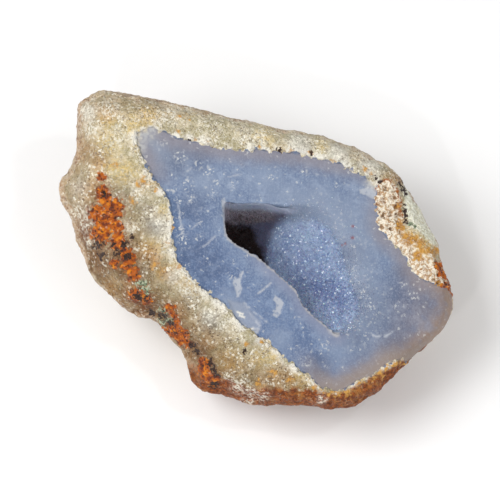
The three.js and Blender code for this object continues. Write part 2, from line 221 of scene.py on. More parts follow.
druse = {
    "voxel": 0.4,  # mm, of the sheet that the crystals stand on
    "smoothing": 18,
    "reach": 1.6,  # mm within which the crust's underside meets the stone
    "seat": 0.5,  # mm that the sheet's underside reaches into the stone
    "top": 0.18,  # mm from the sheet's top down to the stone beneath
    "dive": 0.55,  # mm that the sheet's shallow rim lies lower
    "spacing": 0.337,  # mm between crystals
    "radius": (0.135, 0.28),
    "length": (0.12, 0.4),
    "tilt": 0.55,  # how far a crystal may lean from the surface
    "overFace": 3.6,  # mm that the last crystals stray onto the face
    "seed": 5,
}
stone = {
    "voxel": 0.31,  # mm
    "smoothing": 45,  # rounds that take the solid's flat faces away
    "triangles": 192000,
    "sharpEdges": (0.3, 2.2),  # mm from a sharp edge where smoothing starts and is whole
    "sharpRim": (0.5, 3),
    "hollowReach": 6,  # mm around the hollow that still count as blue
    "hollowFrom": 0.9,  # mm under the face where the hollow starts
    "floorDepths": [(2, 19), (10, 14), (20, 8), (25, 4)],  # mm across, and how deep the blue reaches there
    "edgeRagged": 0.5,  # mm that the edge of the blue face wanders
    "rindLumps": 0.36,  # mm
    "rindGrains": 0.2,
    "skinLumps": 0.5,
    "skinPits": 0.35,
    "rustCrumbs": 0.3,
    "spongyDepth": 1.0,
    "faceRipple": 0.07,
    "ledge": 0.16,
    "rimStep": 0.16,  # mm that the pale rim stands over the face
    "bruiseDepth": 0.1,
    "chipDepth": 0.35,
    "darkDepth": 0.25,
}
rustPlaces = [  # iron stains on the left and lower left
    (-32.3, 15.2, 0.7), (-31.9, 11.5, 1.5), (-30.9, 9.8, 1), (-29.7, 8.7, 1.8), (-33.4, 7.6, 1.6),
    (-31.4, 5.9, 2.1), (-32.7, 3.3, 1.9), (-29.3, 4.8, 1.2), (-28.7, 1.6, 1.6), (-26.6, -1.8, 1.4),
    (-27.7, -0.4, 1), (-29.6, -2.9, 0.9), (-25.7, -5.2, 1.3), (-27.1, -3.6, 0.8), (-25, -9.3, 1.3),
    (-23, -10.5, 1.2), (-18.2, -12.7, 1), (-17.2, -14.3, 1), (-16.6, -15.7, 1), (-17.5, -17.2, 1.3),
    (-15.6, -17.6, 1.2), (-14.9, -19.2, 1), (-14.3, -20.2, 0.8), (-11.4, -23.4, 0.8), (-10.8, -24.7, 1.2),
    (-10, -26, 1.2), (-9, -27.4, 1.2), (-19.6, -17.1, 0.9), (38.6, -3.4, 0.9), (39.4, -5.2, 1),
    (40.3, -7.8, 1), (40.9, -9.4, 0.7),
]
darkPlaces = [  # near-black grains among the rust, and a dark seam on the right
    (-31.9, 11.8, 0.6), (-33.2, 1.1, 1.2), (-32.4, -1.1, 0.8), (-29.9, 1.2, 0.6), (-27.4, 1.2, 0.8),
    (-28.9, -0.4, 0.7), (-27, -1.4, 0.7), (-26, 2.7, 0.5), (-24.6, -9.8, 0.7), (-22.9, -10.2, 0.7),
    (-19.6, -14.2, 0.8), (-18, -15.6, 0.6), (-13.4, -20.3, 0.9), (-9.6, -23.8, 0.8), (-8.8, -25.2, 0.8),
    (-7.9, -26.6, 0.6), (-8.8, -28.6, 0.7), (-22, -13.4, 0.8), (-12.6, -21.6, 0.7), (-2.2, -21.3, 0.5),
    (31, 13.9, 0.7), (31.5, 12.9, 0.6), (31.9, 11.9, 0.5), (31.5, 9.4, 0.4), (31.4, 8.3, 0.6),
    (31.6, 7.2, 0.5), (31.7, 6.2, 0.5), (-17.3, 23.4, 0.4), (-14.1, 22.8, 0.4), (5.1, 20.9, 0.5),
    (11.7, 20.3, 0.4), (25.2, 15.2, 0.5), (26.2, 14.6, 0.5),
]
greenPlaces = [
    (-23.8, -7.3, 1.2), (-22.8, -8.6, 0.9), (-19.2, -13.4, 0.9), (-19.6, -15, 1), (-18.2, -14.6, 0.8),
    (32.6, 5.4, 0.6), (33.4, 5.1, 0.6), (31.6, 13.1, 0.5),
]
amberPlaces = [
    (-20.9, -2.9, 1.2), (-16.3, -3.8, 0.8), (-16, 28.3, 0.7), (-14, 27.2, 0.5), (-23.4, 14.2, 1.2),
    (-24.3, 13.6, 0.8), (-25.9, 10, 1.1), (-1.6, -20, 0.9), (1.4, -19.2, 0.5), (3.5, -25.6, 1.1),
    (0.8, -27.8, 1.1), (7.5, 20.9, 0.7), (33.4, 2.2, 1.4), (35, 0.8, 1.6), (37.2, -0.4, 1.5),
    (34.4, -1.4, 1.2), (23.2, 16.8, 0.8), (24.4, 16, 0.7), (30, 9.2, 0.7), (30.6, 4.9, 1.2),
    (32.2, 2.2, 1.7), (38.7, -8.2, 1.8), (19.6, -29.8, 1.4), (26.3, -26.2, 1.2), (12.5, -28.8, 1),
    (7.2, -27.2, 1), (-18.4, 20.3, 0.5), (-17.6, 18.2, 0.5), (-18.5, 22.2, 0.5), (-16.4, 24.9, 0.5),
    (-29.4, 17.6, 0.9), (-21, 12.6, 0.5), (-17.4, 4.3, 0.6), (-18.2, 1.6, 0.7), (-12.7, 23.2, 0.6),
    (-10.4, 22.8, 0.5), (0.7, 21.5, 0.6), (11.4, 20.6, 0.6), (16.4, 18.8, 0.6),
]
yellowPlaces = [
    (-31.4, 21.9, 3), (-30.8, 17.3, 2.4), (-27.4, 16, 2.6), (-31, 27, 1.8), (-25.4, 25.7, 2.6),
    (-24, 22, 1.6), (-22.5, 28.2, 2), (-5, -23.5, 2.6), (3.5, -22, 2), (9, -28, 2.2), (13, -27.4, 1.6),
    (-22, 0, 2), (-19, -5, 1.6), (2, 24, 2), (14, 21.5, 1.6), (-19.6, 7.5, 1.4), (0.5, -22.5, 2),
    (-26.4, -8.6, 1.8), (-30.4, -7.6, 1.8), (33, 3.6, 1.8), (35.6, 0.6, 1.8), (32, 6, 1),
    (22, -26.6, 1.2), (27, -23.8, 1.2), (17, -30.2, 1),
]
scratches = [  # pale strokes and groups of specks on the blue face
    (-19.3, 22.6, 0.7), (-15.8, 19.6, 1.3), (-17.6, 15.4, 0.9), (-12.2, 17.8, 0.9), (-9.8, 16.4, 1.1),
    (-14.3, 13.6, 1.2), (-8, 14.2, 0.8), (-13.8, 10.8, 0.9), (-9, 11.6, 0.9), (-15.8, 4.2, 0.8),
    (-14.6, 1.2, 0.9), (-7, 3, 0.6), (-10, -2.6, 0.7), (-14.6, -3.6, 0.8), (-4.6, 13.8, 0.8),
    (3.6, 15.4, 0.9), (10.2, 16.3, 0.8), (17, 13.5, 0.6), (8, -20.4, 0.9), (14.6, -20.6, 1.2),
    (10.4, -23.6, 1), (22.5, -8.5, 0.7), (24, -11.6, 0.9), (20.4, -4.4, 0.7), (30, -12, 1),
    (33.4, -9.8, 0.8), (2.4, -4.6, 0.5), (-1.8, -1.4, 0.5), (-15.9, 7.4, 0.8), (-15.4, 2.6, 1.1),
    (-12, 2.4, 0.8), (-17.4, 12.8, 0.9), (-16.4, 10.4, 0.8), (-11.8, 5.4, 0.7), (-13, -7.6, 0.7),
    (-5.4, -5.4, 0.7), (19.4, -7.6, 1.2), (20.8, -11.6, 1), (18.4, -17.8, 1.2), (21, -16, 1),
    (12.4, -20, 0.8),
]
bruises = [  # pale flakes bruised into the blue face
    [(-2.8, -4.3), (-2.4, -4.7), (-3.1, -6.3), (-2.9, -8.2), (-3.4, -9.9), (-3.9, -9.9), (-4.3, -8.2),
     (-4.8, -7.2), (-4.7, -6.3), (-3.6, -5.9)],
    [(4.2, -9.6), (5.1, -10.2), (6, -11.2), (5.4, -12.5), (5.4, -13.4), (4.4, -14.3), (3.5, -13.8),
     (4.2, -12.5), (4.4, -11.4), (3.7, -10.6)],
    [(0.3, -9.2), (1.6, -8.1), (3.2, -6.8), (3.5, -7), (1.9, -8.4), (0.6, -9.4)],
    [(14.7, -16.5), (15.7, -16.9), (17.1, -17.7), (16.2, -18.3), (15.2, -17.5)],
    [(24.3, -17.3), (25.2, -18), (26.6, -17.9), (26.2, -18.4), (25.1, -18.5), (24.4, -18)],
    [(27, -17.9), (27.9, -17.7), (29, -16.9), (28.8, -17.4), (27.7, -18.4), (26.9, -18.6)],
    [(21.8, 12.7), (23.4, 13), (25.3, 12.2), (25.6, 11.2), (24.6, 10.6), (23.6, 11.4), (22.1, 11.8)],
    [(-0.7, -16.1), (0.9, -16.5), (0.4, -17.9), (-0.5, -18.8), (-1.3, -17.6)],
    [(-7.2, 10.7), (-6.5, 10.9), (-6.1, 9.6), (-6.1, 5.6), (-6.5, 5.3), (-6.7, 6.4), (-7, 8.6)],
]
rindShades = {  # patches of the rind that differ in colour
    "tawny": [  # browner, around the stains
        (-34, 12.4, 2.6), (-36.6, 4.4, 3), (4.2, -27.4, 2.6), (-36.6, 20.8, 2.6), (-31.4, 28.8, 2),
        (-33, 18.6, 2), (-17, -13, 1.8), (-26, -9, 2), (-22, -1.4, 2), (-19, -4.4, 1.4),
        (29.4, 15.4, 1.8), (-10, 30, 1.4),
    ],
    "umber": [  # the deepest brown
        (-33.8, -2, 2.6), (-28.4, -2.6, 2.4), (-23.2, -12.6, 2.8), (-11.7, -21.1, 2.2),
        (-8.3, -27.6, 2.6), (-36.9, 4, 2), (-18.6, -17, 1.6), (-14, -23, 1.4),
    ],
    "ash": [  # cooler
        (9.4, 21.8, 2.6), (17.6, 19.8, 2.6), (24.2, 17.8, 2.4), (-20.6, 5.2, 2.4), (-9.8, -14.8, 2.2),
        (-35.8, 29, 2), (-17.6, -5.6, 1.4), (-35, 7, 1.6), (-37, 13, 1.6),
    ],
    "shaded": [  # greyer and deeper
        (-21, 5, 2), (-13.8, -10.6, 2.2), (1, -20, 2.2), (-27.4, 12.4, 2.6), (-32.6, 20.8, 2.4),
        (-24, -5, 2), (-23.5, 9, 1.8), (-14.5, 30.9, 1.8), (-21.6, 32, 1.8), (-9, -15.5, 2),
    ],
}
# paler zones of the agate; the ones beside the hollow's lip are painted light that lifts its shade
paleCloudsAndLight = [
    (13.5, 10.6, 4), (19.8, 7.4, 4), (24, 2.6, 3.4), (9, 6.8, 2.8), (6.6, 11.4, 3), (17.7, -21.1, 3),
    (15.4, -15, 2.8), (19.9, -14.8, 2.4), (-5.4, -10.6, 2.4), (36.6, -18, 2.6), (5, -19, 2.2),
    (11.2, 2.6, 2.2), (10.6, -10, 1.8), (11.6, -11.6, 1.8), (13, -14, 1.8), (3.6, -3.6, 1.6),
    (6.4, -6, 1.6), (2, 15, 3), (-11, 14, 2.6),
]
# deeper zones of the agate; the ones along the hollow's lip are painted shade
darkCloudsAndShade = [
    (-12.7, 0, 3.2), (-9.6, -3.5, 3), (-15.9, 18.6, 2.6), (-13.6, 9.2, 2.6), (30.3, -10.4, 4.4),
    (30.3, -16.9, 4.4), (26.6, -14.4, 4.2), (22.6, -9.6, 2.6), (35.8, -11.7, 3.2), (-11.6, 18.8, 2.2),
    (13.5, -24.2, 2.4), (22, -19.2, 3), (27, -18.4, 2.6), (14.4, -7.8, 2.8), (15.8, -10.8, 2.2),
    (18.8, -13.1, 2.2), (21.5, -12.3, 2.6), (24.2, -12.1, 2.4), (27.8, -11.4, 2.4), (19.6, -1, 2.6),
    (30.2, -5.4, 2),
]
redDots = [(20.5, 4.9, 0.3), (20.4, 2.5, 0.36), (18.9, 1.3, 0.26), (18.2, 0.9, 0.2)]
# painted highlights: short white strokes on the glassy chip
highlightStrokes = [
    [(-3.7, -13.1), (-2.7, -13.5)], [(-3.3, -13.8), (-2.3, -14.2)], [(-1.4, -16.9), (-0.6, -16.4)],
]
greyCorners = [(-24.2, 24.2, 2.2), (-22.6, 25, 1.8), (-24.2, 21.6, 1.2), (24.4, 13.4, 1.2)]
palePatches = [  # whiter crystals in the rind
    (-3.4, -28.3, 1.6), (-1.2, -29.8, 1.6), (1.6, -30.8, 1), (-18, 28.2, 1.8), (0.9, 24, 1.8),
    (-1.4, -31.8, 1.3), (-26, 4.6, 1.1), (24.4, 17.8, 1.3), (-35.8, 29, 1.7), (13.7, -31.3, 0.9),
    (-5.6, -26.4, 1), (-34.8, 25.4, 2), (-31, 30, 1.8), (-37.6, 8, 1.6), (-34.6, 1.6, 1.3),
    (-36, 5.4, 1.4), (-20, 5.8, 1.1), (-19.2, 2.4, 1), (-28.6, 23.6, 1.6), (-14.6, -8.4, 1.4),
    (-9.6, -13.4, 1.3), (-6.4, -15.6, 1.2), (29.4, 5.4, 1.3), (31.4, 2.2, 1.2), (36.2, -7.2, 1.2),
    (-24.6, 11.8, 1.4), (8.6, 22.6, 1.4), (17, 20.4, 1.4),
]
glassyChip = [(-5.6, -10.6), (-2.6, -11.2), (1.2, -15.2), (0.8, -17), (-1.5, -16.6), (-4.6, -13.4)]
ledgeLine = [(-14.2, 9.6), (-11.6, 8.9), (-9, 8.5), (-7, 8.7)]
paleAndHighlightLines = [  # scratches, the edges of old flakes, and painted highlight lines on the glassy chip
    [(-16.2, 10), (-15.9, 6.5), (-15.1, 3.2)],
    [(-11.8, 0.2), (-10.3, 1.1), (-8.4, 2.9)],
    [(-2.3, -11.1), (0, -13.3), (2.3, -15.1)],
    [(-4, -13.2), (-2.6, -13.8)],
    [(-3.8, -13.7), (-2.7, -14.3)],
    [(-1.6, -13.2), (0.9, -16)],
    [(-15.4, 15.6), (-13.4, 17.2)],
    [(-20.6, 22.6), (-20.2, 20.4)],
    [(-13.4, 4.4), (-11.6, 5.8)],
    [(12.3, 16), (14.6, 15.4)],
    [(-5.8, 15.4), (-3, 15.8)],
]
pit = [  # the deep end of the hollow, painted near black as shade
    (-6.4, 5.9), (-4.1, 5), (-1.2, 4.9), (-0.3, 3.7), (0.1, 2), (1.3, -0.1), (2, -1.8), (2.6, -4.5),
    (-3, -4), (-8, 1),
]
# painted shade, tinted violet, around the hollow's deep end
plum = [(-7, 9.2), (8, 8.4), (6.4, 6.6), (4.7, 4.6), (3.4, 2), (2.8, -1.2), (3, -4.5), (-3, -4), (-8, 1)]
shadeLine = [(-1, 1), (3, -3), (7.5, -6.6), (10.4, -8.3), (14.5, -9.4), (18.2, -10.2)]  # where the painted shade along the lip is darkest
greyGreenEdge = [
    (31.4, 13.6), (33.4, 12), (35, 9.2), (36.9, 5.6), (38.2, 2.6), (38.5, 0), (36.6, 1.4), (34.4, 3.9),
    (32.6, 5), (31.9, 7), (31.5, 10),
]


def shapeMask(spots, shapes, edge):  # 1 inside the closed shapes, over an edge of twice this width in mm
    value = np.zeros(len(spots))
    for shape in shapes:
        value = np.maximum(value, rise(edge, -edge, loopGap(spots, np.array(shape))))
    return value


def strokeMask(spots, lines, outer, inner):  # 1 on the lines, 0 farther away than outer
    nearest = np.full(len(spots), np.inf)
    for line in lines:
        nearest = np.minimum(nearest, lineDistance(spots, np.array(line)))
    return rise(outer, inner, nearest)


def survey(points, normals):  # where each point of the surface lies, as the masks need to know it
    flat = toDrawing(points)
    spots = flat[:, :2]
    ragged = np.stack((fractal(flat, 1.5, 3, 1), fractal(flat, 1.5, 3, 2)), axis=1)
    crumbled = np.stack((fractal(flat, 1.9, 2, 3), fractal(flat, 1.9, 2, 4)), axis=1)
    wandering = spots + stone["edgeRagged"] * ragged
    outward = normals @ outAxis
    front = rise(-0.05, 0.2, outward)
    below = spots @ np.array(drawing["faceSlope"]) - flat[:, 2]
    floorDepth = np.interp(spots[:, 0], *np.array(stone["floorDepths"]).T)
    aroundHollow = (loopGap(spots, hollowLoop) < stone["hollowReach"]) & (below < floorDepth)
    blueGap = loopGap(wandering, blueLoop)
    return SimpleNamespace(
        flat=flat,
        spots=spots,
        across=spots[:, 0],
        up=spots[:, 1],
        ragged=ragged,
        wandering=wandering,
        crumbs=spots + 0.5 * crumbled,
        outward=outward,
        front=front,  # 1 on what faces out of the drawing
        near=rise(-0.45, -0.05, outward),  # and some way round the flanks
        below=below,
        inHollow=aroundHollow & (below > stone["hollowFrom"]),
        blueGap=blueGap,
        blue=np.where(aroundHollow, 1, rise(0.3, -0.3, blueGap) * front),
        blueReach=np.where(aroundHollow, 1, rise(1.3, -1.3, blueGap) * front),
        rimInset=-loopGap(spots, girthLoop),
        broad=fractal(flat, 11, 2, 5),
    )


def rindMasks(at):  # the rind, the outer skin and the spongy patch
    low = rise(-22, -27, at.up)
    lowWidth = 3.2 * low * rise(31, 22, at.across)
    lowWidth += 0.9 * rise(22, 27, at.across) * rise(-16, -20, at.up)
    skinWidth = 0.3 + lowWidth + 0.7 * rise(-30, -38, at.across)
    skin = rise(0.5, -0.5, at.rimInset - skinWidth + 0.7 * at.ragged[:, 0])
    spongyGap = loopGap(at.wandering, spongyLoop)
    spongy = rise(0.3, -0.2, spongyGap) * (1 - at.blue) * at.front
    greyGreen = shapeMask(at.spots + 0.25 * at.ragged, [greyGreenEdge], 0.25) * at.front
    outer = np.maximum(rise(0.5, 8, at.blueGap), rise(0.3, 2.2, at.blueGap) * rise(2, 8, at.across))
    lowerSide = rise(21, -3, at.up) * rise(-30, 0, at.up - 1.6 * at.across + 25)
    lowerSide = np.maximum(lowerSide, rise(-18, -23, at.up))
    lowRight = rise(14, 20, at.across) * rise(-14, -18, at.up)
    masks = {
        "skin": np.maximum(skin * (1 - at.blue), 1 - at.front) * ~at.inHollow,
        "spongy": spongy * (1 - greyGreen),
        "greyGreen": np.maximum(greyGreen, 0.3 * rise(-0.1, -0.5, at.broad) * (1 - at.near)),
        "paleRim": rise(2.2, 0.2, at.blueGap) * (1 - at.blue) * at.front,
        "palePatch": patches(at.wandering, palePatches, 0.8) * at.front,
        "seam": rise(0.45, 0.1, np.abs(spongyGap)) * rise(4, 8, at.up) * at.front,
        "low": np.maximum(low, lowRight) * rise(7.5, 5.5, at.rimInset),
        "warmFlank": rise(-12, -24, at.across) * rise(8, 0.5, at.rimInset) * (0.75 + 0.5 * at.ragged[:, 1]),
        # painted shade: the rind darker toward its lower side, and browner there
        "dusk": outer * lowerSide * (0.85 + 0.35 * at.ragged[:, 1]),
    }
    for name, places in rindShades.items():
        masks[name] = patches(at.wandering, places, 0.85) * (1 - at.blue) * at.front
    return masks


def stainMasks(at):  # what has stained the rind and the skin
    ochre = rise(0.85, 0.2, np.abs(at.blueGap - 0.6) - 0.35 * at.ragged[:, 0]) * rise(9, 14, at.across)
    ochre *= 0.75 * rise(-18, -21, at.up)
    amber = (0.8 + 0.25 * rise(26, 30, at.across)) * patches(at.wandering, amberPlaces, 0.8) * at.near
    rustBehind = 0.55 * rise(0.2, 0.6, at.broad) * (1 - at.near)
    widened = [(across, up, 1.5 * radius) for across, up, radius in rustPlaces]
    return {
        "rust": np.maximum(patches(at.crumbs, rustPlaces, 0.7) * at.near, rustBehind),
        "halo": patches(at.wandering, widened, 0.9) * at.near,
        "dark": patches(at.crumbs, darkPlaces, 0.7) * at.near,
        "green": patches(at.crumbs, greenPlaces, 0.7) * at.near,
        "amber": np.maximum(amber, ochre * at.front),
        "yellow": patches(at.wandering, yellowPlaces, 0.8) * at.front,
    }


def faceMasks(at):  # the zones of the blue face
    warmSide = rise(14, 26, at.across - 0.4 * at.up) + rise(12, 18, at.up)
    bandStart = -4.5 - 2 * rise(-10, -20, at.up)
    lipSpots = at.spots + 0.25 * at.ragged
    leftEdge = rise(15, 11, at.up) * rise(-11, -6, at.up) * rise(-7, -10, at.across)
    beyondFar = lineDistance(at.spots, farLine[farLine[:, 0] > 9])
    masks = {
        "rimBand": rise(bandStart, -0.4, at.blueGap) * np.clip(warmSide, 0, 1),
        "warmEnd": rise(27, 42, at.across - 0.35 * at.up) * (0.45 + 0.55 * rise(5, 0.8, at.rimInset)),
        "paleCorner": rise(12, 22, at.up) * rise(-8, -20, at.across),
        "edgeShade": rise(-3.4, -0.5, at.blueGap) * leftEdge,
        "lowWarm": rise(-4.5, -0.5, at.blueGap) * rise(8, 16, at.across) * rise(-16, -21, at.up),
        "farBlend": rise(5, 0.6, beyondFar),
        "lipBand": rise(3.8, 0.4, lineDistance(at.spots, lipLine)) * rise(-3, 2, at.across) * ~at.inHollow,
        # painted shade: the face darker below a diagonal across its lower part
        "deepBand": rise(-1, -9, at.up + 0.9 * at.across) * ~at.inHollow,
    }
    masks = {name: values * at.blue for name, values in masks.items()}
    masks["greyCorner"] = patches(at.wandering, greyCorners, 0.8)
    # painted highlight: a pale line along the lip's edge
    lipEdge = rise(0.85, 0.3, lineDistance(lipSpots, lipLine)) * rise(-0.4, 0, at.outward)
    masks["lipEdge"] = lipEdge * ~at.inHollow
    return masks


def markMasks(at):  # scratches, flakes and dots on the blue face
    chipGap = loopGap(at.spots + 0.2 * at.ragged, np.array(glassyChip))
    lines = strokeMask(at.spots + 0.15 * at.ragged, paleAndHighlightLines, 0.32, 0.06)
    masks = {
        "scratch": patches(at.spots, scratches, 0.8),
        "glassy": shapeMask(at.spots, [glassyChip], 0.4),
        "chipEdge": rise(0.4, 0.1, np.abs(chipGap)),
        "redDot": patches(at.spots, redDots, 0.6) * (at.below < 3),
        "bruise": shapeMask(at.spots + 0.12 * at.ragged, bruises, 0.1) * ~at.inHollow,
        "paleLine": lines * at.front * ~at.inHollow,
        # painted highlight strokes on the glassy chip
        "bright": strokeMask(at.spots, highlightStrokes, 0.27, 0.1) * at.front,
    }
    return {name: values * at.blue for name, values in masks.items()}


def stoneMasks(at):  # how much each point belongs to each part, zone and mark
    masks = {"blue": at.blue, "blueReach": at.blueReach}
    for part in (rindMasks(at), stainMasks(at), faceMasks(at), markMasks(at), cloudMasks(at.spots)):
        masks.update(part)
    masks.update({name: values * at.inHollow for name, values in hollowMasks(at.flat).items()})
    return masks


def cloudMasks(spots):  # the agate's broad paler and deeper zones, with painted light and shade beside the hollow's lip
    return {"paleCloud": patches(spots, paleCloudsAndLight, 0.9), "darkCloud": patches(spots, darkCloudsAndShade, 0.9)}


def hollowMasks(flat):  # the hollow's own shades, painted shade and light among them, for the stone and for its crystals
    spots = flat[:, :2] + 0.5 * np.stack((fractal(flat, 1.2, 2, 6), fractal(flat, 1.2, 2, 7)), axis=1)
    across, up = spots.T
    shadeGap = lineDistance(spots, np.array(shadeLine))
    topGap = lineDistance(flat[:, :2], farLine[farLine[:, 0] < 9])
    return {
        "pit": rise(0.8, -0.7, loopGap(spots, np.array(pit))),
        "plum": rise(0.8, -1.5, loopGap(spots, np.array(plum))),
        "granular": rise(5, 6.2, up - 0.12 * across) * rise(6.5, 1.5, across),
        # painted shade: the wall darker toward its foot in the hollow
        "wallFoot": rise(8.2, 6, up),
        # painted light: the wall's top edge paler
        "bevel": rise(1.7, 0.6, topGap) * rise(10, 6, across),
        # painted shade: darker blue along the lip, where the hollow is deepest
        "nearLip": rise(5.5, 0.3, shadeGap) * rise(24, 16, across) * (0.3 + 0.35 * rise(3, 11, across)),
        "outerRim": rise(5, 0.5, lineDistance(spots, farLine[farLine[:, 0] > 7])),
    }


def stoneRelief(at, masks):  # mm that each point moves out
    flat = at.flat
    rindLumps = fractal(flat, 3.2, 4, 11)
    skinLumps = fractal(flat, 4.2, 4, 12)
    grain = 0.5 - cells(flat, 0.85, 13)[:, 0]
    coarse = cells(flat, 2.3, 14)
    sponge = cells(flat + 0.45 * rindLumps[:, None], 1.75, 15)
    fineSponge = cells(flat, 0.95, 16)
    skin, spongy = masks["skin"], masks["spongy"]
    rind = (1 - at.blue) * (1 - skin) * (1 - spongy)
    relief = rind * (stone["rindLumps"] * rindLumps + stone["rindGrains"] * 2 * grain)
    relief += skin * (stone["skinLumps"] * skinLumps + stone["rindGrains"] * grain)
    relief -= skin * stone["skinPits"] * rise(0.42, 0.12, coarse[:, 0])
    relief += stone["rustCrumbs"] * masks["rust"] * (grain * 2 + 0.3)
    walls = rise(0.45, 0.08, sponge[:, 1] - sponge[:, 0])  # walls where two pits meet
    walls = np.maximum(walls, 0.6 * rise(0.35, 0.05, fineSponge[:, 1] - fineSponge[:, 0]))
    walls = np.maximum(walls, 0.85 * rise(0.05, 0.5, rindLumps + 0.35 * rise(5, 0, at.up)))
    masks["sponge"] = spongy * (1 - walls)
    relief += spongy * (stone["spongyDepth"] * (walls - 0.75) + 0.2 * rindLumps)
    relief += stone["faceRipple"] * at.blue * fractal(flat, 5.5, 3, 17) * ~at.inHollow
    relief += stone["rimStep"] * masks["paleRim"] * (1 - spongy) * rise(0.1, 0.6, at.blueGap)
    relief -= stone["bruiseDepth"] * (masks["bruise"] + masks["lipEdge"])
    relief -= stone["chipDepth"] * masks["glassy"] + stone["darkDepth"] * masks["dark"]
    aboveLedge = at.up - np.interp(at.across, *np.array(ledgeLine).T)
    along = rise(-14.5, -12.5, at.across) * rise(-6.4, -7.2, at.across)
    relief += stone["ledge"] * along * rise(-0.08, 0.08, aboveLedge) * rise(4.5, 0.5, aboveLedge) * at.blue
    return relief * ~at.inHollow


def rayLengths(tree, points, normals, reach):  # how far along its normal each point meets the mesh
    hits = (tree.ray_cast(Vector(p), Vector(n), reach)[3] for p, n in zip(points, normals))
    return np.array([np.inf if hit is None else hit for hit in hits])


def meshTree(mesh):
    return BVHTree.FromPolygons([v.co for v in mesh.vertices], [p.vertices for p in mesh.polygons])


def withCrust(stoneMesh, crustMesh):  # the stone with the crust's body let into it, so no gap stays open
    points, normals, edges = meshArrays(crustMesh)
    under = np.isfinite(rayLengths(meshTree(stoneMesh), points, normals, druse["reach"] * mm))
    points += normals * (np.where(under, druse["seat"], -druse["top"]) * mm)[:, None]
    stonePoints = [v.co[:] for v in stoneMesh.vertices]
    count = len(stonePoints)
    faces = [tuple(p.vertices) for p in stoneMesh.polygons]
    faces += [tuple(count + i for i in p.vertices) for p in crustMesh.polygons]
    joined = bpy.data.meshes.new("joined")
    joined.from_pydata(stonePoints + points.tolist(), [], faces)
    return joined


def buildStone():
    filled = withCrust(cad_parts["agate_stone"].data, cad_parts["druse_crust"].data)
    piece = voxelCopy(filled, "stone_surface", stone["voxel"])
    mesh = piece.data
    points, normals, edges = meshArrays(mesh)
    spots = toDrawing(points)[:, :2]
    crispGap = np.minimum(lineDistance(spots, lipLine), lineDistance(spots, farLine[farLine[:, 0] < 7]))
    rimGap = np.abs(loopGap(spots, girthLoop))
    weight = 0.5 * rise(*stone["sharpEdges"], crispGap) * (0.25 + 0.75 * rise(*stone["sharpRim"], rimGap))
    points = relax(points, edges, weight, stone["smoothing"])
    setPoints(mesh, points)
    points, normals, edges = meshArrays(mesh)
    at = survey(points, normals)
    masks = stoneMasks(at)
    print("   moving", len(points), "points")
    points += normals * stoneRelief(at, masks)[:, None] * mm
    points[:, 2] = np.maximum(points[:, 2], 0.0)  # it stands on the ground
    setPoints(mesh, points)
    for name, values in masks.items():
        setMask(mesh, name, values)
    behind = (at.outward < 0.1) & ~at.inHollow
    piece.vertex_groups.new(name="back").add(np.flatnonzero(behind).tolist(), 1.0, "REPLACE")
    decimate = piece.modifiers.new("fewerBehind", "DECIMATE")
    decimate.vertex_group = "back"
    decimate.ratio = stone["triangles"] / (2 * len(mesh.polygons))
    applyModifiers(piece)
    piece.vertex_groups.clear()
    piece.data.shade_smooth()
    print("   stone has", len(piece.data.polygons), "faces")
    return piece


print("The crystals of the hollow")


def hexCrystals(feet, axes, radii, lengths, random):  # six-sided prisms with off-centre points, as arrays
    count = len(feet)
    helper = np.where(np.abs(axes[:, [2]]) < 0.9, np.array([[0, 0, 1.0]]), np.array([[1.0, 0, 0]]))
    sideways = np.cross(axes, helper)
    sideways /= np.linalg.norm(sideways, axis=1, keepdims=True)
    forward = np.cross(axes, sideways)
    turn = random.uniform(0, math.tau, count)[:, None] + np.arange(6)[None, :] * math.tau / 6
    uneven = random.uniform(0.75, 1.15, (count, 6))
    ring = np.cos(turn)[..., None] * sideways[:, None] + np.sin(turn)[..., None] * forward[:, None]
    ring = ring * (radii[:, None] * uneven)[..., None]
    base = feet[:, None] + ring - (axes * lengths[:, None] * 0.6)[:, None]
    shoulderHeight = lengths * random.uniform(0.1, 0.45, count)
    shoulder = feet[:, None] + ring * 0.92 + (axes * shoulderHeight[:, None])[:, None]
    lean = sideways * random.uniform(-0.4, 0.4, count)[:, None]
    lean += forward * random.uniform(-0.4, 0.4, count)[:, None]
    tip = feet + axes * lengths[:, None] + lean * radii[:, None]
    points = np.concatenate((base, shoulder, tip[:, None]), axis=1).reshape(-1, 3)
    faces = []
    for k in range(count):
        o = 13 * k
        for i in range(6):
            j = (i + 1) % 6
            faces.append((o + i, o + j, o + 6 + j, o + 6 + i))
            faces.append((o + 6 + i, o + 6 + j, o + 12))
        faces.append((o + 5, o + 4, o + 3, o + 2, o + 1, o))
    return points, faces


def spreadOver(points, normals, faces, spacing, random):  # evenly spread places on the faces
    corners = points[faces]
    cross = np.cross(corners[:, 1] - corners[:, 0], corners[:, 2] - corners[:, 0])
    areas = 0.5 * np.linalg.norm(cross, axis=1)
    tries = int(3.2 * areas.sum() / (spacing * mm) ** 2)
    picked = random.choice(len(faces), tries, p=areas / areas.sum())
    a, b = random.random(tries), random.random(tries)
    flip = a + b > 1
    a[flip], b[flip] = 1 - a[flip], 1 - b[flip]
    shares = np.stack((1 - a - b, a, b), axis=1)[..., None]
    places = (corners[picked] * shares).sum(axis=1)
    ways = (normals[faces][picked] * shares).sum(axis=1)
    taken = {}
    kept = []
    cell = spacing * mm
    around = [(x, y, z) for x in (-1, 0, 1) for y in (-1, 0, 1) for z in (-1, 0, 1)]
    for i, place in enumerate(places):
        key = tuple(np.floor(place / cell).astype(int))
        near = (taken.get((key[0] + x, key[1] + y, key[2] + z)) for x, y, z in around)
        if all(other is None or np.linalg.norm(places[other] - place) > cell * 0.8 for other in near):
            taken[key] = i
            kept.append(i)
    ways = ways[kept] / np.linalg.norm(ways[kept], axis=1, keepdims=True)
    return places[kept], ways


def meshTriangles(mesh):
    mesh.calc_loop_triangles()
    corners = np.empty(len(mesh.loop_triangles) * 3, np.int32)
    mesh.loop_triangles.foreach_get("vertices", corners)
    return corners.reshape(-1, 3)


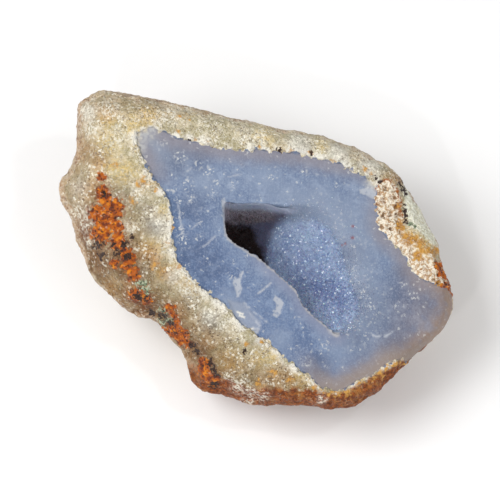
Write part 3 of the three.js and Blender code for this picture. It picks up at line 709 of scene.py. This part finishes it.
def strayPlaces(stoneMesh, random):  # fewer and fewer crystals on the face beyond the hollow's far edge
    points, normals, edges = meshArrays(stoneMesh)
    spots = toDrawing(points)[:, :2]
    farGap = lineDistance(spots, farLine[farLine[:, 0] > 5])
    allowed = (farGap < druse["overFace"]) & (normals @ outAxis > 0.3) & (spots[:, 0] > 6)
    triangles = meshTriangles(stoneMesh)
    triangles = triangles[allowed[triangles].all(axis=1)]
    places, ways = spreadOver(points, normals, triangles, druse["spacing"] * 1.1, random)
    spots = toDrawing(places)[:, :2]
    farGap = lineDistance(spots, farLine)
    outside = loopGap(spots, hollowLoop) > 0
    keep = random.random(len(places)) < np.where(outside, rise(druse["overFace"], 0, farGap) ** 1.5, 1)
    return places[keep], ways[keep]


def buildDruse(stoneMesh):
    sheet = voxelCopy(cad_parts["druse_crust"].data, "druse_crystals", druse["voxel"])
    mesh = sheet.data
    points, normals, edges = meshArrays(mesh)
    points = relax(points, edges, 0.5, druse["smoothing"])
    setPoints(mesh, points)
    points, normals, edges = meshArrays(mesh)
    wall = meshTree(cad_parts["agate_stone"].data)
    under = np.isfinite(rayLengths(wall, points, normals, druse["reach"] * mm))
    ripple = fractal(toDrawing(points), 1.6, 3, 21)
    farGap = lineDistance(toDrawing(points)[:, :2], farLine[farLine[:, 0] > 7])
    dive = druse["dive"] * rise(4.6, 0.6, farGap)  # the sheet slips under the face at its shallow side
    points += normals * (np.where(under, druse["seat"], 0.1 * ripple - dive) * mm)[:, None]
    setPoints(mesh, points)
    triangles = meshTriangles(mesh)
    upper = triangles[~under[triangles].any(axis=1)]
    random = np.random.default_rng(druse["seed"])
    places, ways = spreadOver(points, normals, upper, druse["spacing"], random)
    strayed, strayedWays = strayPlaces(stoneMesh, random)
    places, ways = np.concatenate((places, strayed)), np.concatenate((ways, strayedWays))
    spots = toDrawing(places)[:, :2]
    farGap = lineDistance(spots, farLine)
    inset = np.where(loopGap(spots, hollowLoop) < 0, farGap, -farGap)
    fade = 0.42 + 0.58 * rise(-0.5, 5.5, inset)  # smaller crystals at the far edge
    count = len(places)
    radii = mm * random.uniform(*druse["radius"], count) * fade
    lengths = mm * random.uniform(*druse["length"], count) * fade * random.choice([1, 1, 1, 1.4], count)
    axes = ways + druse["tilt"] * random.uniform(-1, 1, (count, 3))
    axes /= np.linalg.norm(axes, axis=1, keepdims=True)
    crystalPoints, crystalFaces = hexCrystals(places, axes, radii, lengths, random)
    shade = np.concatenate((np.full(len(points), 0.5), np.repeat(random.random(count), 13)))
    crystal = np.concatenate((np.zeros(len(points)), np.ones(len(crystalPoints))))
    sheetFaces = [tuple(p.vertices) for p in mesh.polygons]
    shifted = [tuple(len(points) + i for i in face) for face in crystalFaces]
    joined = bpy.data.meshes.new("druse_crystals")
    joined.from_pydata(np.concatenate((points, crystalPoints)).tolist(), [], sheetFaces + shifted)
    joined.update()
    sheet.data = joined
    bpy.data.meshes.remove(mesh)
    setMask(joined, "shade", shade)
    setMask(joined, "crystal", crystal)
    flat = toDrawing(np.concatenate((points, crystalPoints)))
    for name, values in {**hollowMasks(flat), **cloudMasks(flat[:, :2])}.items():
        setMask(joined, name, values)
    print("   druse has", count, "crystals and", len(joined.polygons), "faces")
    return sheet


stonePiece = buildStone()
drusePiece = buildDruse(stonePiece.data)

print("Materials")


def put(tree, socket, value):  # a link, or the socket's own value
    if isinstance(value, bpy.types.NodeSocket):
        tree.links.new(value, socket)
    elif isinstance(value, tuple) and len(value) == 3 and socket.type == "RGBA":
        socket.default_value = (*value, 1.0)
    else:
        socket.default_value = value


def node(tree, kind, inputs=None, **settings):
    made = tree.nodes.new(kind)
    for name, value in settings.items():
        setattr(made, name, value)
    for name, value in (inputs or {}).items():
        put(tree, made.inputs[name], value)
    return made


def mix(tree, factor, first, second, blend="MIX"):
    made = node(tree, "ShaderNodeMix", {0: factor, 6: first, 7: second}, data_type="RGBA", blend_type=blend)
    return made.outputs[2]


def calc(tree, operation, *values):
    made = node(tree, "ShaderNodeMath", dict(enumerate(values)), operation=operation)
    return made.outputs[0]


def times(tree, first, second):
    return calc(tree, "MULTIPLY", first, second)


def ramp(tree, value, low, high, start=0.0, end=1.0):
    sockets = {"Value": value, "From Min": low, "From Max": high, "To Min": start, "To Max": end}
    return node(tree, "ShaderNodeMapRange", sockets, interpolation_type="SMOOTHSTEP").outputs[0]


def mask(tree, name):
    return node(tree, "ShaderNodeAttribute", attribute_name=name).outputs["Fac"]


def wash(tree, color, name, tint, share=1.0, blend="MIX"):  # a tint laid over the colour where a mask is
    amount = mask(tree, name) if share == 1.0 else times(tree, mask(tree, name), share)
    return mix(tree, amount, color, tint, blend)


def clouds(tree, place, size, detail=4.0, distortion=0.0):  # size in mm
    sockets = {"Vector": place, "Scale": 1 / (size * mm), "Detail": detail, "Distortion": distortion}
    return node(tree, "ShaderNodeTexNoise", sockets).outputs[0]


def newGroup(name, inputs, outputs):
    tree = bpy.data.node_groups.new(name, "ShaderNodeTree")
    for label, kind in inputs.items():
        tree.interface.new_socket(label, in_out="INPUT", socket_type=kind)
    for label, kind in outputs.items():
        tree.interface.new_socket(label, in_out="OUTPUT", socket_type=kind)
    return tree, tree.nodes.new("NodeGroupInput"), tree.nodes.new("NodeGroupOutput")


def grainGroup():  # packed grains of odd shapes: two random shades for each, and their domed height
    tree, start, end = newGroup(
        "sugarGrain",
        {"Place": "NodeSocketVector", "Grains per mm": "NodeSocketFloat"},
        {"Shade": "NodeSocketFloat", "Other Shade": "NodeSocketFloat", "Height": "NodeSocketFloat"},
    )
    perMetre = times(tree, start.outputs["Grains per mm"], 1 / mm)
    wobbleScale = times(tree, perMetre, 0.8)
    sockets = {"Vector": start.outputs["Place"], "Scale": wobbleScale, "Detail": 2.0}
    wobble = node(tree, "ShaderNodeTexNoise", sockets)
    sockets = {0: wobble.outputs["Color"], 1: (0.5, 0.5, 0.5)}
    wobble = node(tree, "ShaderNodeVectorMath", sockets, operation="SUBTRACT")
    reach = calc(tree, "DIVIDE", 1.3, perMetre)
    wobble = node(tree, "ShaderNodeVectorMath", {0: wobble.outputs[0], "Scale": reach}, operation="SCALE")
    moved = node(tree, "ShaderNodeVectorMath", {0: start.outputs["Place"], 1: wobble.outputs[0]})
    grains = node(tree, "ShaderNodeTexVoronoi", {"Vector": moved.outputs[0], "Scale": perMetre})
    parts = node(tree, "ShaderNodeSeparateColor", {"Color": grains.outputs["Color"]})
    put(tree, end.inputs["Shade"], parts.outputs[0])
    put(tree, end.inputs["Other Shade"], parts.outputs[1])
    put(tree, end.inputs["Height"], calc(tree, "SUBTRACT", 1.0, grains.outputs["Distance"]))
    return tree


def frostGroup():  # a fine pale network, like felted fibres
    tree, start, end = newGroup(
        "frostNet",
        {"Place": "NodeSocketVector", "Lines per mm": "NodeSocketFloat"},
        {"Amount": "NodeSocketFloat"},
    )
    perMetre = times(tree, start.outputs["Lines per mm"], 1 / mm)
    sockets = {"Vector": start.outputs["Place"], "Scale": perMetre, "Detail": 3.0}
    sockets.update({"Roughness": 0.6, "Distortion": 0.6})
    lines = node(tree, "ShaderNodeTexNoise", sockets)
    away = calc(tree, "ABSOLUTE", calc(tree, "SUBTRACT", lines.outputs[0], 0.5))
    put(tree, end.inputs["Amount"], ramp(tree, away, 0.075, 0.0))
    return tree


def hollowGroup():  # the hollow's colours, painted shade and painted light, from its blue shoulder down to the near-black deep end
    tree, start, end = newGroup(
        "hollowTint",
        {
            "Base": "NodeSocketColor", "Pit": "NodeSocketFloat", "Plum": "NodeSocketFloat",
            "Granular": "NodeSocketFloat", "Wall Foot": "NodeSocketFloat", "Bevel": "NodeSocketFloat",
            "Near Lip": "NodeSocketFloat", "Grain": "NodeSocketFloat",
        },
        {"Color": "NodeSocketColor"},
    )
    asked = start.outputs
    # painted shade along the lip
    color = mix(tree, times(tree, asked["Near Lip"], 0.42), asked["Base"], druseLook["lipBlue"])
    # painted violet-tinted shade around the deep end
    color = mix(tree, times(tree, asked["Plum"], 0.88), color, druseLook["plum"])
    wall = mix(tree, asked["Grain"], druseLook["wallDark"], druseLook["wall"])
    # painted shade toward the wall's foot
    wall = mix(tree, asked["Wall Foot"], wall, druseLook["wallShadeTint"], "MULTIPLY")
    color = mix(tree, asked["Granular"], color, wall)
    # painted light on the wall's top edge
    color = mix(tree, times(tree, asked["Bevel"], 0.85), color, druseLook["bevel"])
    # painted shade: the deep end near black
    color = mix(tree, asked["Pit"], color, druseLook["pitShade"])
    put(tree, end.inputs["Color"], color)
    return tree


def grouped(tree, group, **values):
    made = node(tree, "ShaderNodeGroup", node_tree=group)
    for name, value in values.items():
        put(tree, made.inputs[name.replace("_", " ")], value)
    return made


def newMaterial(name):
    material = bpy.data.materials.new(name)
    material.use_nodes = True
    tree = material.node_tree
    shader = tree.nodes["Principled BSDF"]
    place = node(tree, "ShaderNodeTexCoord").outputs["Object"]
    return material, tree, shader, place


def inHollowTint(tree, groups, base, grain):
    names = {
        "Pit": "pit", "Plum": "plum", "Granular": "granular", "Wall_Foot": "wallFoot", "Bevel": "bevel",
        "Near_Lip": "nearLip",
    }
    masks = {label: mask(tree, name) for label, name in names.items()}
    return grouped(tree, groups["hollow"], Base=base, Grain=grain, **masks).outputs["Color"]


stoneLook = {  # linear colours, and tints that multiply them
    "blue": (0.152, 0.205, 0.315),
    "bluePale": (0.232, 0.29, 0.4),
    "blueDeep": (0.108, 0.156, 0.265),
    "paintedShadeTint": (0.76, 0.83, 0.92),
    "rimBand": (0.215, 0.2, 0.23),
    "warmEnd": (0.27, 0.187, 0.142),
    "paleCorner": (0.225, 0.255, 0.32),
    "bruise": (0.37, 0.395, 0.45),
    "paleCloud": (0.228, 0.282, 0.385),
    "darkCloudAndShadeTint": (0.74, 0.75, 0.79),
    "edgeTint": (0.78, 0.83, 0.87),
    "lowWarm": (0.26, 0.2, 0.16),
    "glassy": (0.33, 0.35, 0.4),
    "redDot": (0.2, 0.04, 0.05),
    "tawnyTint": (0.87, 0.71, 0.57),
    "umberTint": (0.68, 0.5, 0.33),
    "lowTint": (1.0, 0.85, 0.64),
    "shadedTint": (0.78, 0.79, 0.82),
    "greenDark": (0.06, 0.09, 0.055),
    "greenPale": (0.4, 0.43, 0.3),
    "speck": (0.6, 0.6, 0.58),
    "tan": (0.52, 0.4, 0.22),
    "olive": (0.4, 0.345, 0.2),
    "greyTan": (0.58, 0.5, 0.34),
    "flankTint": (0.86, 0.72, 0.6),
    "lowerSideShadeTint": (0.5, 0.38, 0.26),
    "pepper": (0.13, 0.08, 0.04),
    "cream": (0.86, 0.82, 0.7),
    "rimWhite": (0.85, 0.83, 0.76),
    "ash": (0.6, 0.59, 0.55),
    "yellow": (0.68, 0.5, 0.19),
    "amber": (0.58, 0.3, 0.06),
    "rust": (0.44, 0.1, 0.003),
    "rustBright": (0.74, 0.25, 0.008),
    "rustDeep": (0.16, 0.03, 0.008),
    "black": (0.035, 0.016, 0.011),
    "green": (0.2, 0.25, 0.14),
    "ochre": (0.4, 0.18, 0.035),
    "greyGreen": (0.85, 0.86, 0.74),
    "greyGreenDark": (0.64, 0.62, 0.47),
    "skin": (0.56, 0.42, 0.28),
    "skinDark": (0.37, 0.25, 0.15),
    "brown": (0.31, 0.088, 0.006),
    "brownDark": (0.13, 0.032, 0.003),
    "brownPale": (0.44, 0.22, 0.06),
    "sponge": (0.87, 0.79, 0.65),
    "spongeWarm": (0.56, 0.38, 0.22),
    "spongePit": (0.36, 0.22, 0.12),
    "lipLine": (0.46, 0.44, 0.42),
    "lipBand": (0.195, 0.21, 0.3),
    "greyCorner": (0.42, 0.42, 0.42),
}


streakTurn = -0.85  # radians, of the fine streaks on the blue
streakStretch = (1.0, 0.09, 0.5)


def blueColor(tree, look, groups, place, fine, noises):
    broad, middling, tiny = noises
    shade = fine.outputs["Shade"]
    blue = mix(tree, ramp(tree, broad, 0.38, 0.6), look["blueDeep"], look["blue"])
    blue = mix(tree, ramp(tree, middling, 0.48, 0.72), blue, look["bluePale"])
    grain = clouds(tree, place, 0.42, 2.0)
    blue = mix(tree, ramp(tree, grain, 0.5, 0.72, 0.0, 0.85), blue, look["bluePale"])
    blue = mix(tree, ramp(tree, grain, 0.48, 0.28, 0.0, 0.8), blue, look["blueDeep"])
    sockets = {"Vector": place, "Rotation": (0.0, 0.0, streakTurn), "Scale": streakStretch}
    streaks = clouds(tree, node(tree, "ShaderNodeMapping", sockets).outputs[0], 0.3, 2.0)
    blue = mix(tree, ramp(tree, streaks, 0.52, 0.7, 0.0, 0.35), blue, look["bluePale"])
    blue = mix(tree, ramp(tree, streaks, 0.46, 0.3, 0.0, 0.3), blue, look["blueDeep"])
    # painted shade on the lower face
    blue = wash(tree, blue, "deepBand", look["paintedShadeTint"], blend="MULTIPLY")
    # paler zones, and painted light beside the lip
    blue = wash(tree, blue, "paleCloud", look["paleCloud"], 0.55)
    blue = wash(tree, blue, "edgeShade", look["edgeTint"], blend="MULTIPLY")
    blue = wash(tree, blue, "paleCorner", look["paleCorner"], 0.7)
    blue = wash(tree, blue, "rimBand", look["rimBand"], 0.85)
    blue = wash(tree, blue, "greyCorner", look["greyCorner"], ramp(tree, tiny, 0.3, 0.6, 0.3, 0.9))
    blue = wash(tree, blue, "warmEnd", look["warmEnd"], ramp(tree, middling, 0.3, 0.6, 0.6, 1.0))
    blue = wash(tree, blue, "lowWarm", look["lowWarm"], 0.72)
    blue = wash(tree, blue, "farBlend", druseLook["rim"], 0.75)
    # deeper zones, and painted shade along the lip
    blue = wash(tree, blue, "darkCloud", look["darkCloudAndShadeTint"], blend="MULTIPLY")
    grains = ramp(tree, fine.outputs["Other Shade"], 0.86, 0.94, 0.0, 0.28)
    blue = wash(tree, blue, "farBlend", look["speck"], grains)
    scattered = times(tree, ramp(tree, shade, 0.955, 0.98), ramp(tree, middling, 0.42, 0.6))
    blue = mix(tree, times(tree, scattered, 0.45), blue, look["speck"])
    net = grouped(tree, groups["frost"], Place=place, Lines_per_mm=0.9).outputs["Amount"]
    broken = times(tree, net, ramp(tree, tiny, 0.5, 0.62))
    strokes = calc(tree, "MAXIMUM", broken, ramp(tree, shade, 0.86, 0.92))
    blue = wash(tree, blue, "scratch", look["speck"], times(tree, strokes, 0.75))
    blue = mix(tree, ramp(tree, net, 0.6, 1.0, 0.0, 0.16), blue, look["bruise"])
    blue = wash(tree, blue, "glassy", look["glassy"], 0.45)
    blue = wash(tree, blue, "chipEdge", look["bruise"], ramp(tree, middling, 0.4, 0.6, 0.0, 0.6))
    blue = wash(tree, blue, "bruise", look["bruise"], ramp(tree, tiny, 0.32, 0.5, 0.45, 1.0))
    gaps = ramp(tree, clouds(tree, place, 0.9), 0.35, 0.6, 0.1, 0.8)
    # pale scratch lines, and painted highlight lines on the glassy chip
    blue = wash(tree, blue, "paleLine", look["bruise"], gaps)
    blue = wash(tree, blue, "lipBand", look["lipBand"], 0.6)
    # painted highlight: a pale line along the lip's edge
    blue = wash(tree, blue, "lipEdge", look["lipLine"], 0.7)
    # painted highlight: white strokes on the glassy chip
    blue = wash(tree, blue, "bright", look["cream"], 0.7)
    blue = wash(tree, blue, "redDot", look["redDot"], 0.85)
    return inHollowTint(tree, groups, blue, fine.outputs["Other Shade"])


def rindColor(tree, look, groups, place, fine, noises):
    broad, middling, tiny = noises
    shade, otherShade = fine.outputs["Shade"], fine.outputs["Other Shade"]
    rind = mix(tree, ramp(tree, broad, 0.38, 0.5), look["tan"], look["olive"])
    rind = mix(tree, ramp(tree, middling, 0.42, 0.62), rind, look["greyTan"])
    rind = wash(tree, rind, "halo", look["brown"], ramp(tree, tiny, 0.35, 0.6, 0.0, 0.6))
    rind = wash(tree, rind, "yellow", look["yellow"], ramp(tree, tiny, 0.35, 0.6, 0.25, 0.9))
    rind = wash(tree, rind, "paleRim", look["rimWhite"], ramp(tree, middling, 0.42, 0.58, 0.0, 0.85))
    rind = wash(tree, rind, "ash", look["ash"], 0.6)
    calm = ramp(tree, clouds(tree, place, 3.5), 0.4, 0.62, 1.0, 0.35)
    pepper = times(tree, ramp(tree, shade, 0.3, 0.1), times(tree, calm, 0.7))
    rind = mix(tree, pepper, rind, look["pepper"])
    net = grouped(tree, groups["frost"], Place=place, Lines_per_mm=1.8).outputs["Amount"]
    rind = mix(tree, times(tree, net, times(tree, calm, 0.7)), rind, look["cream"])
    rind = wash(tree, rind, "warmFlank", look["flankTint"], 0.9, "MULTIPLY")
    # painted shade, browner too, on the rind's lower side
    rind = wash(tree, rind, "dusk", look["lowerSideShadeTint"], blend="MULTIPLY")
    rind = wash(tree, rind, "tawny", look["tawnyTint"], blend="MULTIPLY")
    rind = wash(tree, rind, "shaded", look["shadedTint"], blend="MULTIPLY")
    rind = wash(tree, rind, "umber", look["umberTint"], blend="MULTIPLY")
    rind = wash(tree, rind, "halo", look["rustDeep"], ramp(tree, otherShade, 0.3, 0.18, 0.0, 0.8))
    salt = times(tree, ramp(tree, otherShade, 0.84, 0.93), times(tree, calm, 0.85))
    salt = times(tree, salt, ramp(tree, mask(tree, "dusk"), 0.3, 1.2, 1.0, 0.45))
    rind = mix(tree, salt, rind, look["cream"])
    return rind


def stainsOver(tree, look, place, color, fine):  # the iron stains, dark grains and green films
    shade, otherShade = fine.outputs["Shade"], fine.outputs["Other Shade"]
    blots = clouds(tree, place, 0.9, 4.0)
    ragged = times(tree, calc(tree, "SUBTRACT", blots, 0.5), 2.2)
    grained = calc(tree, "SUBTRACT", otherShade, 0.5)

    def stained(base, name, tint, low, high, byGrain=0.25):
        uneven = calc(tree, "ADD", ragged, times(tree, grained, byGrain))
        amount = ramp(tree, calc(tree, "ADD", mask(tree, name), uneven), low, high)
        amount = times(tree, amount, ramp(tree, mask(tree, name), 0.0, 0.15))
        return mix(tree, amount, base, tint)

    amber = mix(tree, ramp(tree, blots, 0.45, 0.6), look["ochre"], look["amber"])
    color = stained(color, "amber", amber, 0.35, 1.1)
    heat = clouds(tree, place, 1.1, 3.0)
    rustTint = mix(tree, ramp(tree, heat, 0.36, 0.5), look["rustDeep"], look["rust"])
    rustTint = mix(tree, ramp(tree, heat, 0.54, 0.64, 0.0, 0.8), rustTint, look["rustBright"])
    rustTint = mix(tree, ramp(tree, shade, 0.16, 0.08, 0.0, 0.85), rustTint, look["black"])
    rustTint = mix(tree, ramp(tree, shade, 0.95, 0.98, 0.0, 0.2), rustTint, look["cream"])
    color = stained(color, "rust", rustTint, 0.15, 0.45)
    green = mix(tree, ramp(tree, shade, 0.2, 0.8), look["greenDark"], look["green"])
    green = mix(tree, ramp(tree, otherShade, 0.6, 0.8), green, look["greenPale"])
    color = stained(color, "green", green, 0.4, 0.8, 1.1)
    return stained(color, "dark", look["black"], 0.4, 0.7, 1.1)


def stoneMaterial(groups):
    look = stoneLook
    material, tree, shader, place = newMaterial("agate")
    fine = grouped(tree, groups["grain"], Place=place, Grains_per_mm=2.4)
    noises = (clouds(tree, place, 7.0), clouds(tree, place, 2.2, 5.0), clouds(tree, place, 0.6, 3.0))
    middling, tiny = noises[1:]
    shade, otherShade = fine.outputs["Shade"], fine.outputs["Other Shade"]
    rind = rindColor(tree, look, groups, place, fine, noises)

    mottle = clouds(tree, place, 4.5, 6.0, 0.8)
    skin = mix(tree, ramp(tree, mottle, 0.34, 0.66), look["skinDark"], look["skin"])
    skin = wash(tree, skin, "warmFlank", look["flankTint"], blend="MULTIPLY")
    skin = mix(tree, ramp(tree, noises[0], 0.5, 0.68, 0.0, 0.6), skin, look["greyTan"])
    skinNet = grouped(tree, groups["frost"], Place=place, Lines_per_mm=1.2).outputs["Amount"]
    skin = mix(tree, times(tree, skinNet, 0.35), skin, look["cream"])
    brown = mix(tree, ramp(tree, tiny, 0.4, 0.62), look["brownDark"], look["brown"])
    brown = mix(tree, ramp(tree, middling, 0.5, 0.7, 0.0, 0.6), brown, look["brownPale"])
    skin = wash(tree, skin, "low", brown)
    flecks = times(tree, ramp(tree, mask(tree, "low"), 0.0, 1.0, 0.4, 0.18), ramp(tree, mottle, 0.42, 0.6))
    skin = mix(tree, times(tree, ramp(tree, otherShade, 0.8, 0.92), flecks), skin, look["cream"])
    skin = mix(tree, times(tree, ramp(tree, shade, 0.25, 0.1), 0.5), skin, look["brownDark"])

    skin = wash(tree, skin, "low", look["lowTint"], blend="MULTIPLY")
    spongeWall = mix(tree, ramp(tree, tiny, 0.45, 0.6), look["sponge"], look["spongeWarm"])
    sponge = mix(tree, ramp(tree, mask(tree, "sponge"), 0.3, 0.9), spongeWall, look["spongePit"])
    veins = calc(tree, "ABSOLUTE", calc(tree, "SUBTRACT", clouds(tree, place, 1.9, 3.0, 0.5), 0.5))
    sponge = mix(tree, ramp(tree, veins, 0.022, 0.0, 0.0, 0.75), sponge, look["brown"])
    greyGreen = mix(tree, ramp(tree, tiny, 0.35, 0.6), look["greyGreenDark"], look["greyGreen"])
    color = mix(tree, mask(tree, "skin"), rind, skin)
    white = times(tree, mask(tree, "palePatch"), ramp(tree, otherShade, 0.35, 0.6, 0.1, 0.85))
    white = times(tree, white, ramp(tree, tiny, 0.34, 0.52))
    color = mix(tree, white, color, look["cream"])
    color = mix(tree, times(tree, mask(tree, "greyGreen"), 0.85), color, greyGreen)
    sponge = wash(tree, sponge, "yellow", look["yellow"], ramp(tree, tiny, 0.35, 0.55, 0.2, 0.8))
    color = mix(tree, ramp(tree, mask(tree, "spongy"), 0.3, 0.7), color, sponge)
    color = wash(tree, color, "seam", look["brown"], ramp(tree, tiny, 0.4, 0.55))
    color = stainsOver(tree, look, place, color, fine)
    blue = blueColor(tree, look, groups, place, fine, noises)
    wandering = times(tree, calc(tree, "SUBTRACT", clouds(tree, place, 1.3, 6.0), 0.5), 1.5)
    reach = calc(tree, "ADD", mask(tree, "blueReach"), wandering)
    fading = ramp(tree, reach, 0.1, 1.0)  # the greyed corners have no sharp edge
    sockets = {0: mask(tree, "greyCorner"), 2: ramp(tree, reach, 0.46, 0.56), 3: fading}
    ownBlue = node(tree, "ShaderNodeMix", sockets).outputs[0]
    color = mix(tree, ownBlue, color, blue)
    put(tree, shader.inputs["Base Color"], color)

    glitter = ramp(tree, shade, 0.8, 0.95, 0.6, 0.25)
    waxy = ramp(tree, tiny, 0.3, 0.7, 0.38, 0.55)
    roughness = node(tree, "ShaderNodeMix", {0: mask(tree, "blue"), 2: glitter, 3: waxy}).outputs[0]
    put(tree, shader.inputs["Roughness"], roughness)
    rough = times(tree, fine.outputs["Height"], calc(tree, "SUBTRACT", 1.0, mask(tree, "blue")))
    bump = node(tree, "ShaderNodeBump", {"Strength": 0.85, "Distance": 0.3 * mm})
    lumps = times(tree, tiny, ramp(tree, mask(tree, "blue"), 0.0, 1.0, 2.0, 0.2))
    put(tree, bump.inputs["Height"], calc(tree, "ADD", rough, lumps))
    put(tree, shader.inputs["Normal"], bump.outputs[0])
    shader.inputs["IOR"].default_value = 1.54
    shader.inputs["Specular IOR Level"].default_value = 0.35
    shader.inputs["Subsurface Weight"].default_value = 0.14
    shader.inputs["Subsurface Radius"].default_value = (1.0, 0.9, 1.0)
    shader.inputs["Subsurface Scale"].default_value = 0.7 * mm
    return material


druseLook = {  # linear colours of the crystals and the hollow
    "crystal": (0.215, 0.285, 0.45),
    "crystalPale": (0.4, 0.48, 0.62),
    "rim": (0.2, 0.248, 0.345),
    "paintedShadeTint": (0.76, 0.76, 0.8),
    # colour of the painted glints
    "glint": (0.85, 0.88, 0.95),
    "lipBlue": (0.102, 0.136, 0.325),
    "plum": (0.075, 0.068, 0.12),
    "wall": (0.44, 0.4, 0.46),
    "wallDark": (0.16, 0.135, 0.155),
    "wallShadeTint": (0.58, 0.55, 0.56),
    "bevel": (0.58, 0.64, 0.8),
    "pitShade": (0.013, 0.004, 0.004),
}


def druseMaterial(groups):
    look = druseLook
    material, tree, shader, place = newMaterial("druse")
    shade = mask(tree, "shade")
    paler = ramp(tree, clouds(tree, place, 3.0), 0.35, 0.65, 0.0, 0.4)
    color = mix(tree, paler, look["crystal"], look["crystalPale"])
    color = wash(tree, color, "outerRim", look["rim"])
    # painted light beside the lip, and paler zones
    color = wash(tree, color, "paleCloud", look["crystalPale"], 0.5)
    # painted shade: the dark band along the lip
    color = wash(tree, color, "darkCloud", look["paintedShadeTint"], blend="MULTIPLY")
    speckle = grouped(tree, groups["grain"], Place=place, Grains_per_mm=3.4).outputs["Other Shade"]
    color = inHollowTint(tree, groups, color, speckle)
    outsidePit = calc(tree, "SUBTRACT", 1.0, calc(tree, "MAXIMUM", mask(tree, "pit"), mask(tree, "plum")))
    clear = times(tree, outsidePit, ramp(tree, mask(tree, "outerRim"), 0.2, 1.0, 1.0, 0.3))
    pale = times(tree, ramp(tree, shade, 0.55, 0.95, 0.0, 0.85), clear)
    color = mix(tree, pale, color, look["crystalPale"])
    dim = times(tree, ramp(tree, shade, 0.45, 0.0, 0.0, 0.4), clear)
    color = mix(tree, dim, color, look["lipBlue"])
    # painted glints: the brightest crystals coloured near white as sparkle highlights
    glint = times(tree, ramp(tree, shade, 0.94, 0.98), ramp(tree, outsidePit, 0.0, 0.6, 0.05, 0.9))
    glint = times(tree, glint, ramp(tree, mask(tree, "outerRim"), 0.3, 1.0, 1.0, 0.5))
    color = mix(tree, glint, color, look["glint"])
    put(tree, shader.inputs["Base Color"], color)
    frost = grouped(tree, groups["grain"], Place=place, Grains_per_mm=6.0)
    lit = times(tree, mask(tree, "crystal"), outsidePit)
    roughness = node(tree, "ShaderNodeMix", {0: lit, 2: 0.6, 3: 0.2}).outputs[0]
    put(tree, shader.inputs["Roughness"], roughness)
    sockets = {"Strength": 0.3, "Distance": 0.1 * mm, "Height": frost.outputs["Height"]}
    bump = node(tree, "ShaderNodeBump", sockets)
    put(tree, shader.inputs["Normal"], bump.outputs[0])
    shader.inputs["IOR"].default_value = 1.54
    shader.inputs["Specular IOR Level"].default_value = 0.3
    shader.inputs["Subsurface Weight"].default_value = 0.25
    shader.inputs["Subsurface Scale"].default_value = 0.5 * mm
    return material


def dress(piece, material, nodeName):
    piece.data.materials.clear()
    piece.data.materials.append(material)
    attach(piece, "root")
    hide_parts(nodeName)


groups = {"grain": grainGroup(), "frost": frostGroup(), "hollow": hollowGroup()}
dress(stonePiece, stoneMaterial(groups), "agate_stone")
dress(drusePiece, druseMaterial(groups), "druse_crust")

print("Floor, lights and camera")

studio = {
    "floor": (0.9, 0.9, 0.9),
    "floorReach": 1.5,  # m to each side
    "floorRoughness": 0.9,
    "sky": 0.5,
    "lamps": [  # name, direction from the stone, distance in m, size in m, watts
        ("key", (-0.55, -0.15, 0.85), 0.6, 0.35, 2.6),
        ("fill", (0.7, -0.5, 0.6), 0.7, 0.5, 1.1),
        ("glint", (-0.25, -0.75, 0.9), 0.8, 0.04, 0.5),
        ("glintRight", (0.35, -0.1, 0.9), 0.8, 0.04, 0.4),
    ],
}
view = {
    "elevation": 65.0,  # degrees above level, from straight in front
    "lens": 360.0,
    "sensor": 36.0,
    "nearest": 0.01,  # m
    "width": 105.0,  # mm seen across at the stone's girth: 500 pixels of 0.21 mm
    "middle": (-1.155, -0.105, 0.0),  # mm in the drawing, at the middle of the picture
}


def buildStudio():
    floorMesh = bpy.data.meshes.new("floor")
    half = studio["floorReach"]
    corners = [(-half, -half, 0), (half, -half, 0), (half, half, 0), (-half, half, 0)]
    floorMesh.from_pydata(corners, [], [(0, 1, 2, 3)])
    floor = bpy.data.objects.new("floor", floorMesh)
    bpy.context.scene.collection.objects.link(floor)
    material = bpy.data.materials.new("paper")
    material.use_nodes = True
    shader = material.node_tree.nodes["Principled BSDF"]
    shader.inputs["Base Color"].default_value = (*studio["floor"], 1)
    shader.inputs["Roughness"].default_value = studio["floorRoughness"]
    floorMesh.materials.append(material)
    world = bpy.data.worlds.new("studio")
    world.use_nodes = True
    world.node_tree.nodes["Background"].inputs["Strength"].default_value = studio["sky"]
    world.node_tree.nodes["Background"].inputs["Color"].default_value = (1, 1, 1, 1)
    bpy.context.scene.world = world
    target = fromDrawing(0, 0, 0)
    for name, direction, distance, size, watts in studio["lamps"]:
        lamp = bpy.data.lights.new(name, "AREA")
        lamp.size = size
        lamp.energy = watts
        holder = bpy.data.objects.new(name, lamp)
        way = Vector(direction).normalized()
        holder.location = target + way * distance
        holder.rotation_euler = way.to_track_quat("Z", "Y").to_euler()
        bpy.context.scene.collection.objects.link(holder)


def buildCamera():
    camera = bpy.data.cameras.new("camera")
    camera.lens = view["lens"]
    camera.sensor_width = view["sensor"]
    camera.clip_start = view["nearest"]
    holder = bpy.data.objects.new("camera", camera)
    bpy.context.scene.collection.objects.link(holder)
    tilt = math.radians(view["elevation"])
    away = Vector((0, -math.cos(tilt), math.sin(tilt)))
    distance = view["width"] * mm * view["lens"] / view["sensor"]
    holder.location = fromDrawing(*view["middle"]) + away * distance
    holder.rotation_euler = (math.pi / 2 - tilt, 0, 0)
    bpy.context.scene.camera = holder


buildStudio()
buildCamera()
bpy.context.scene.view_settings.view_transform = "Standard"
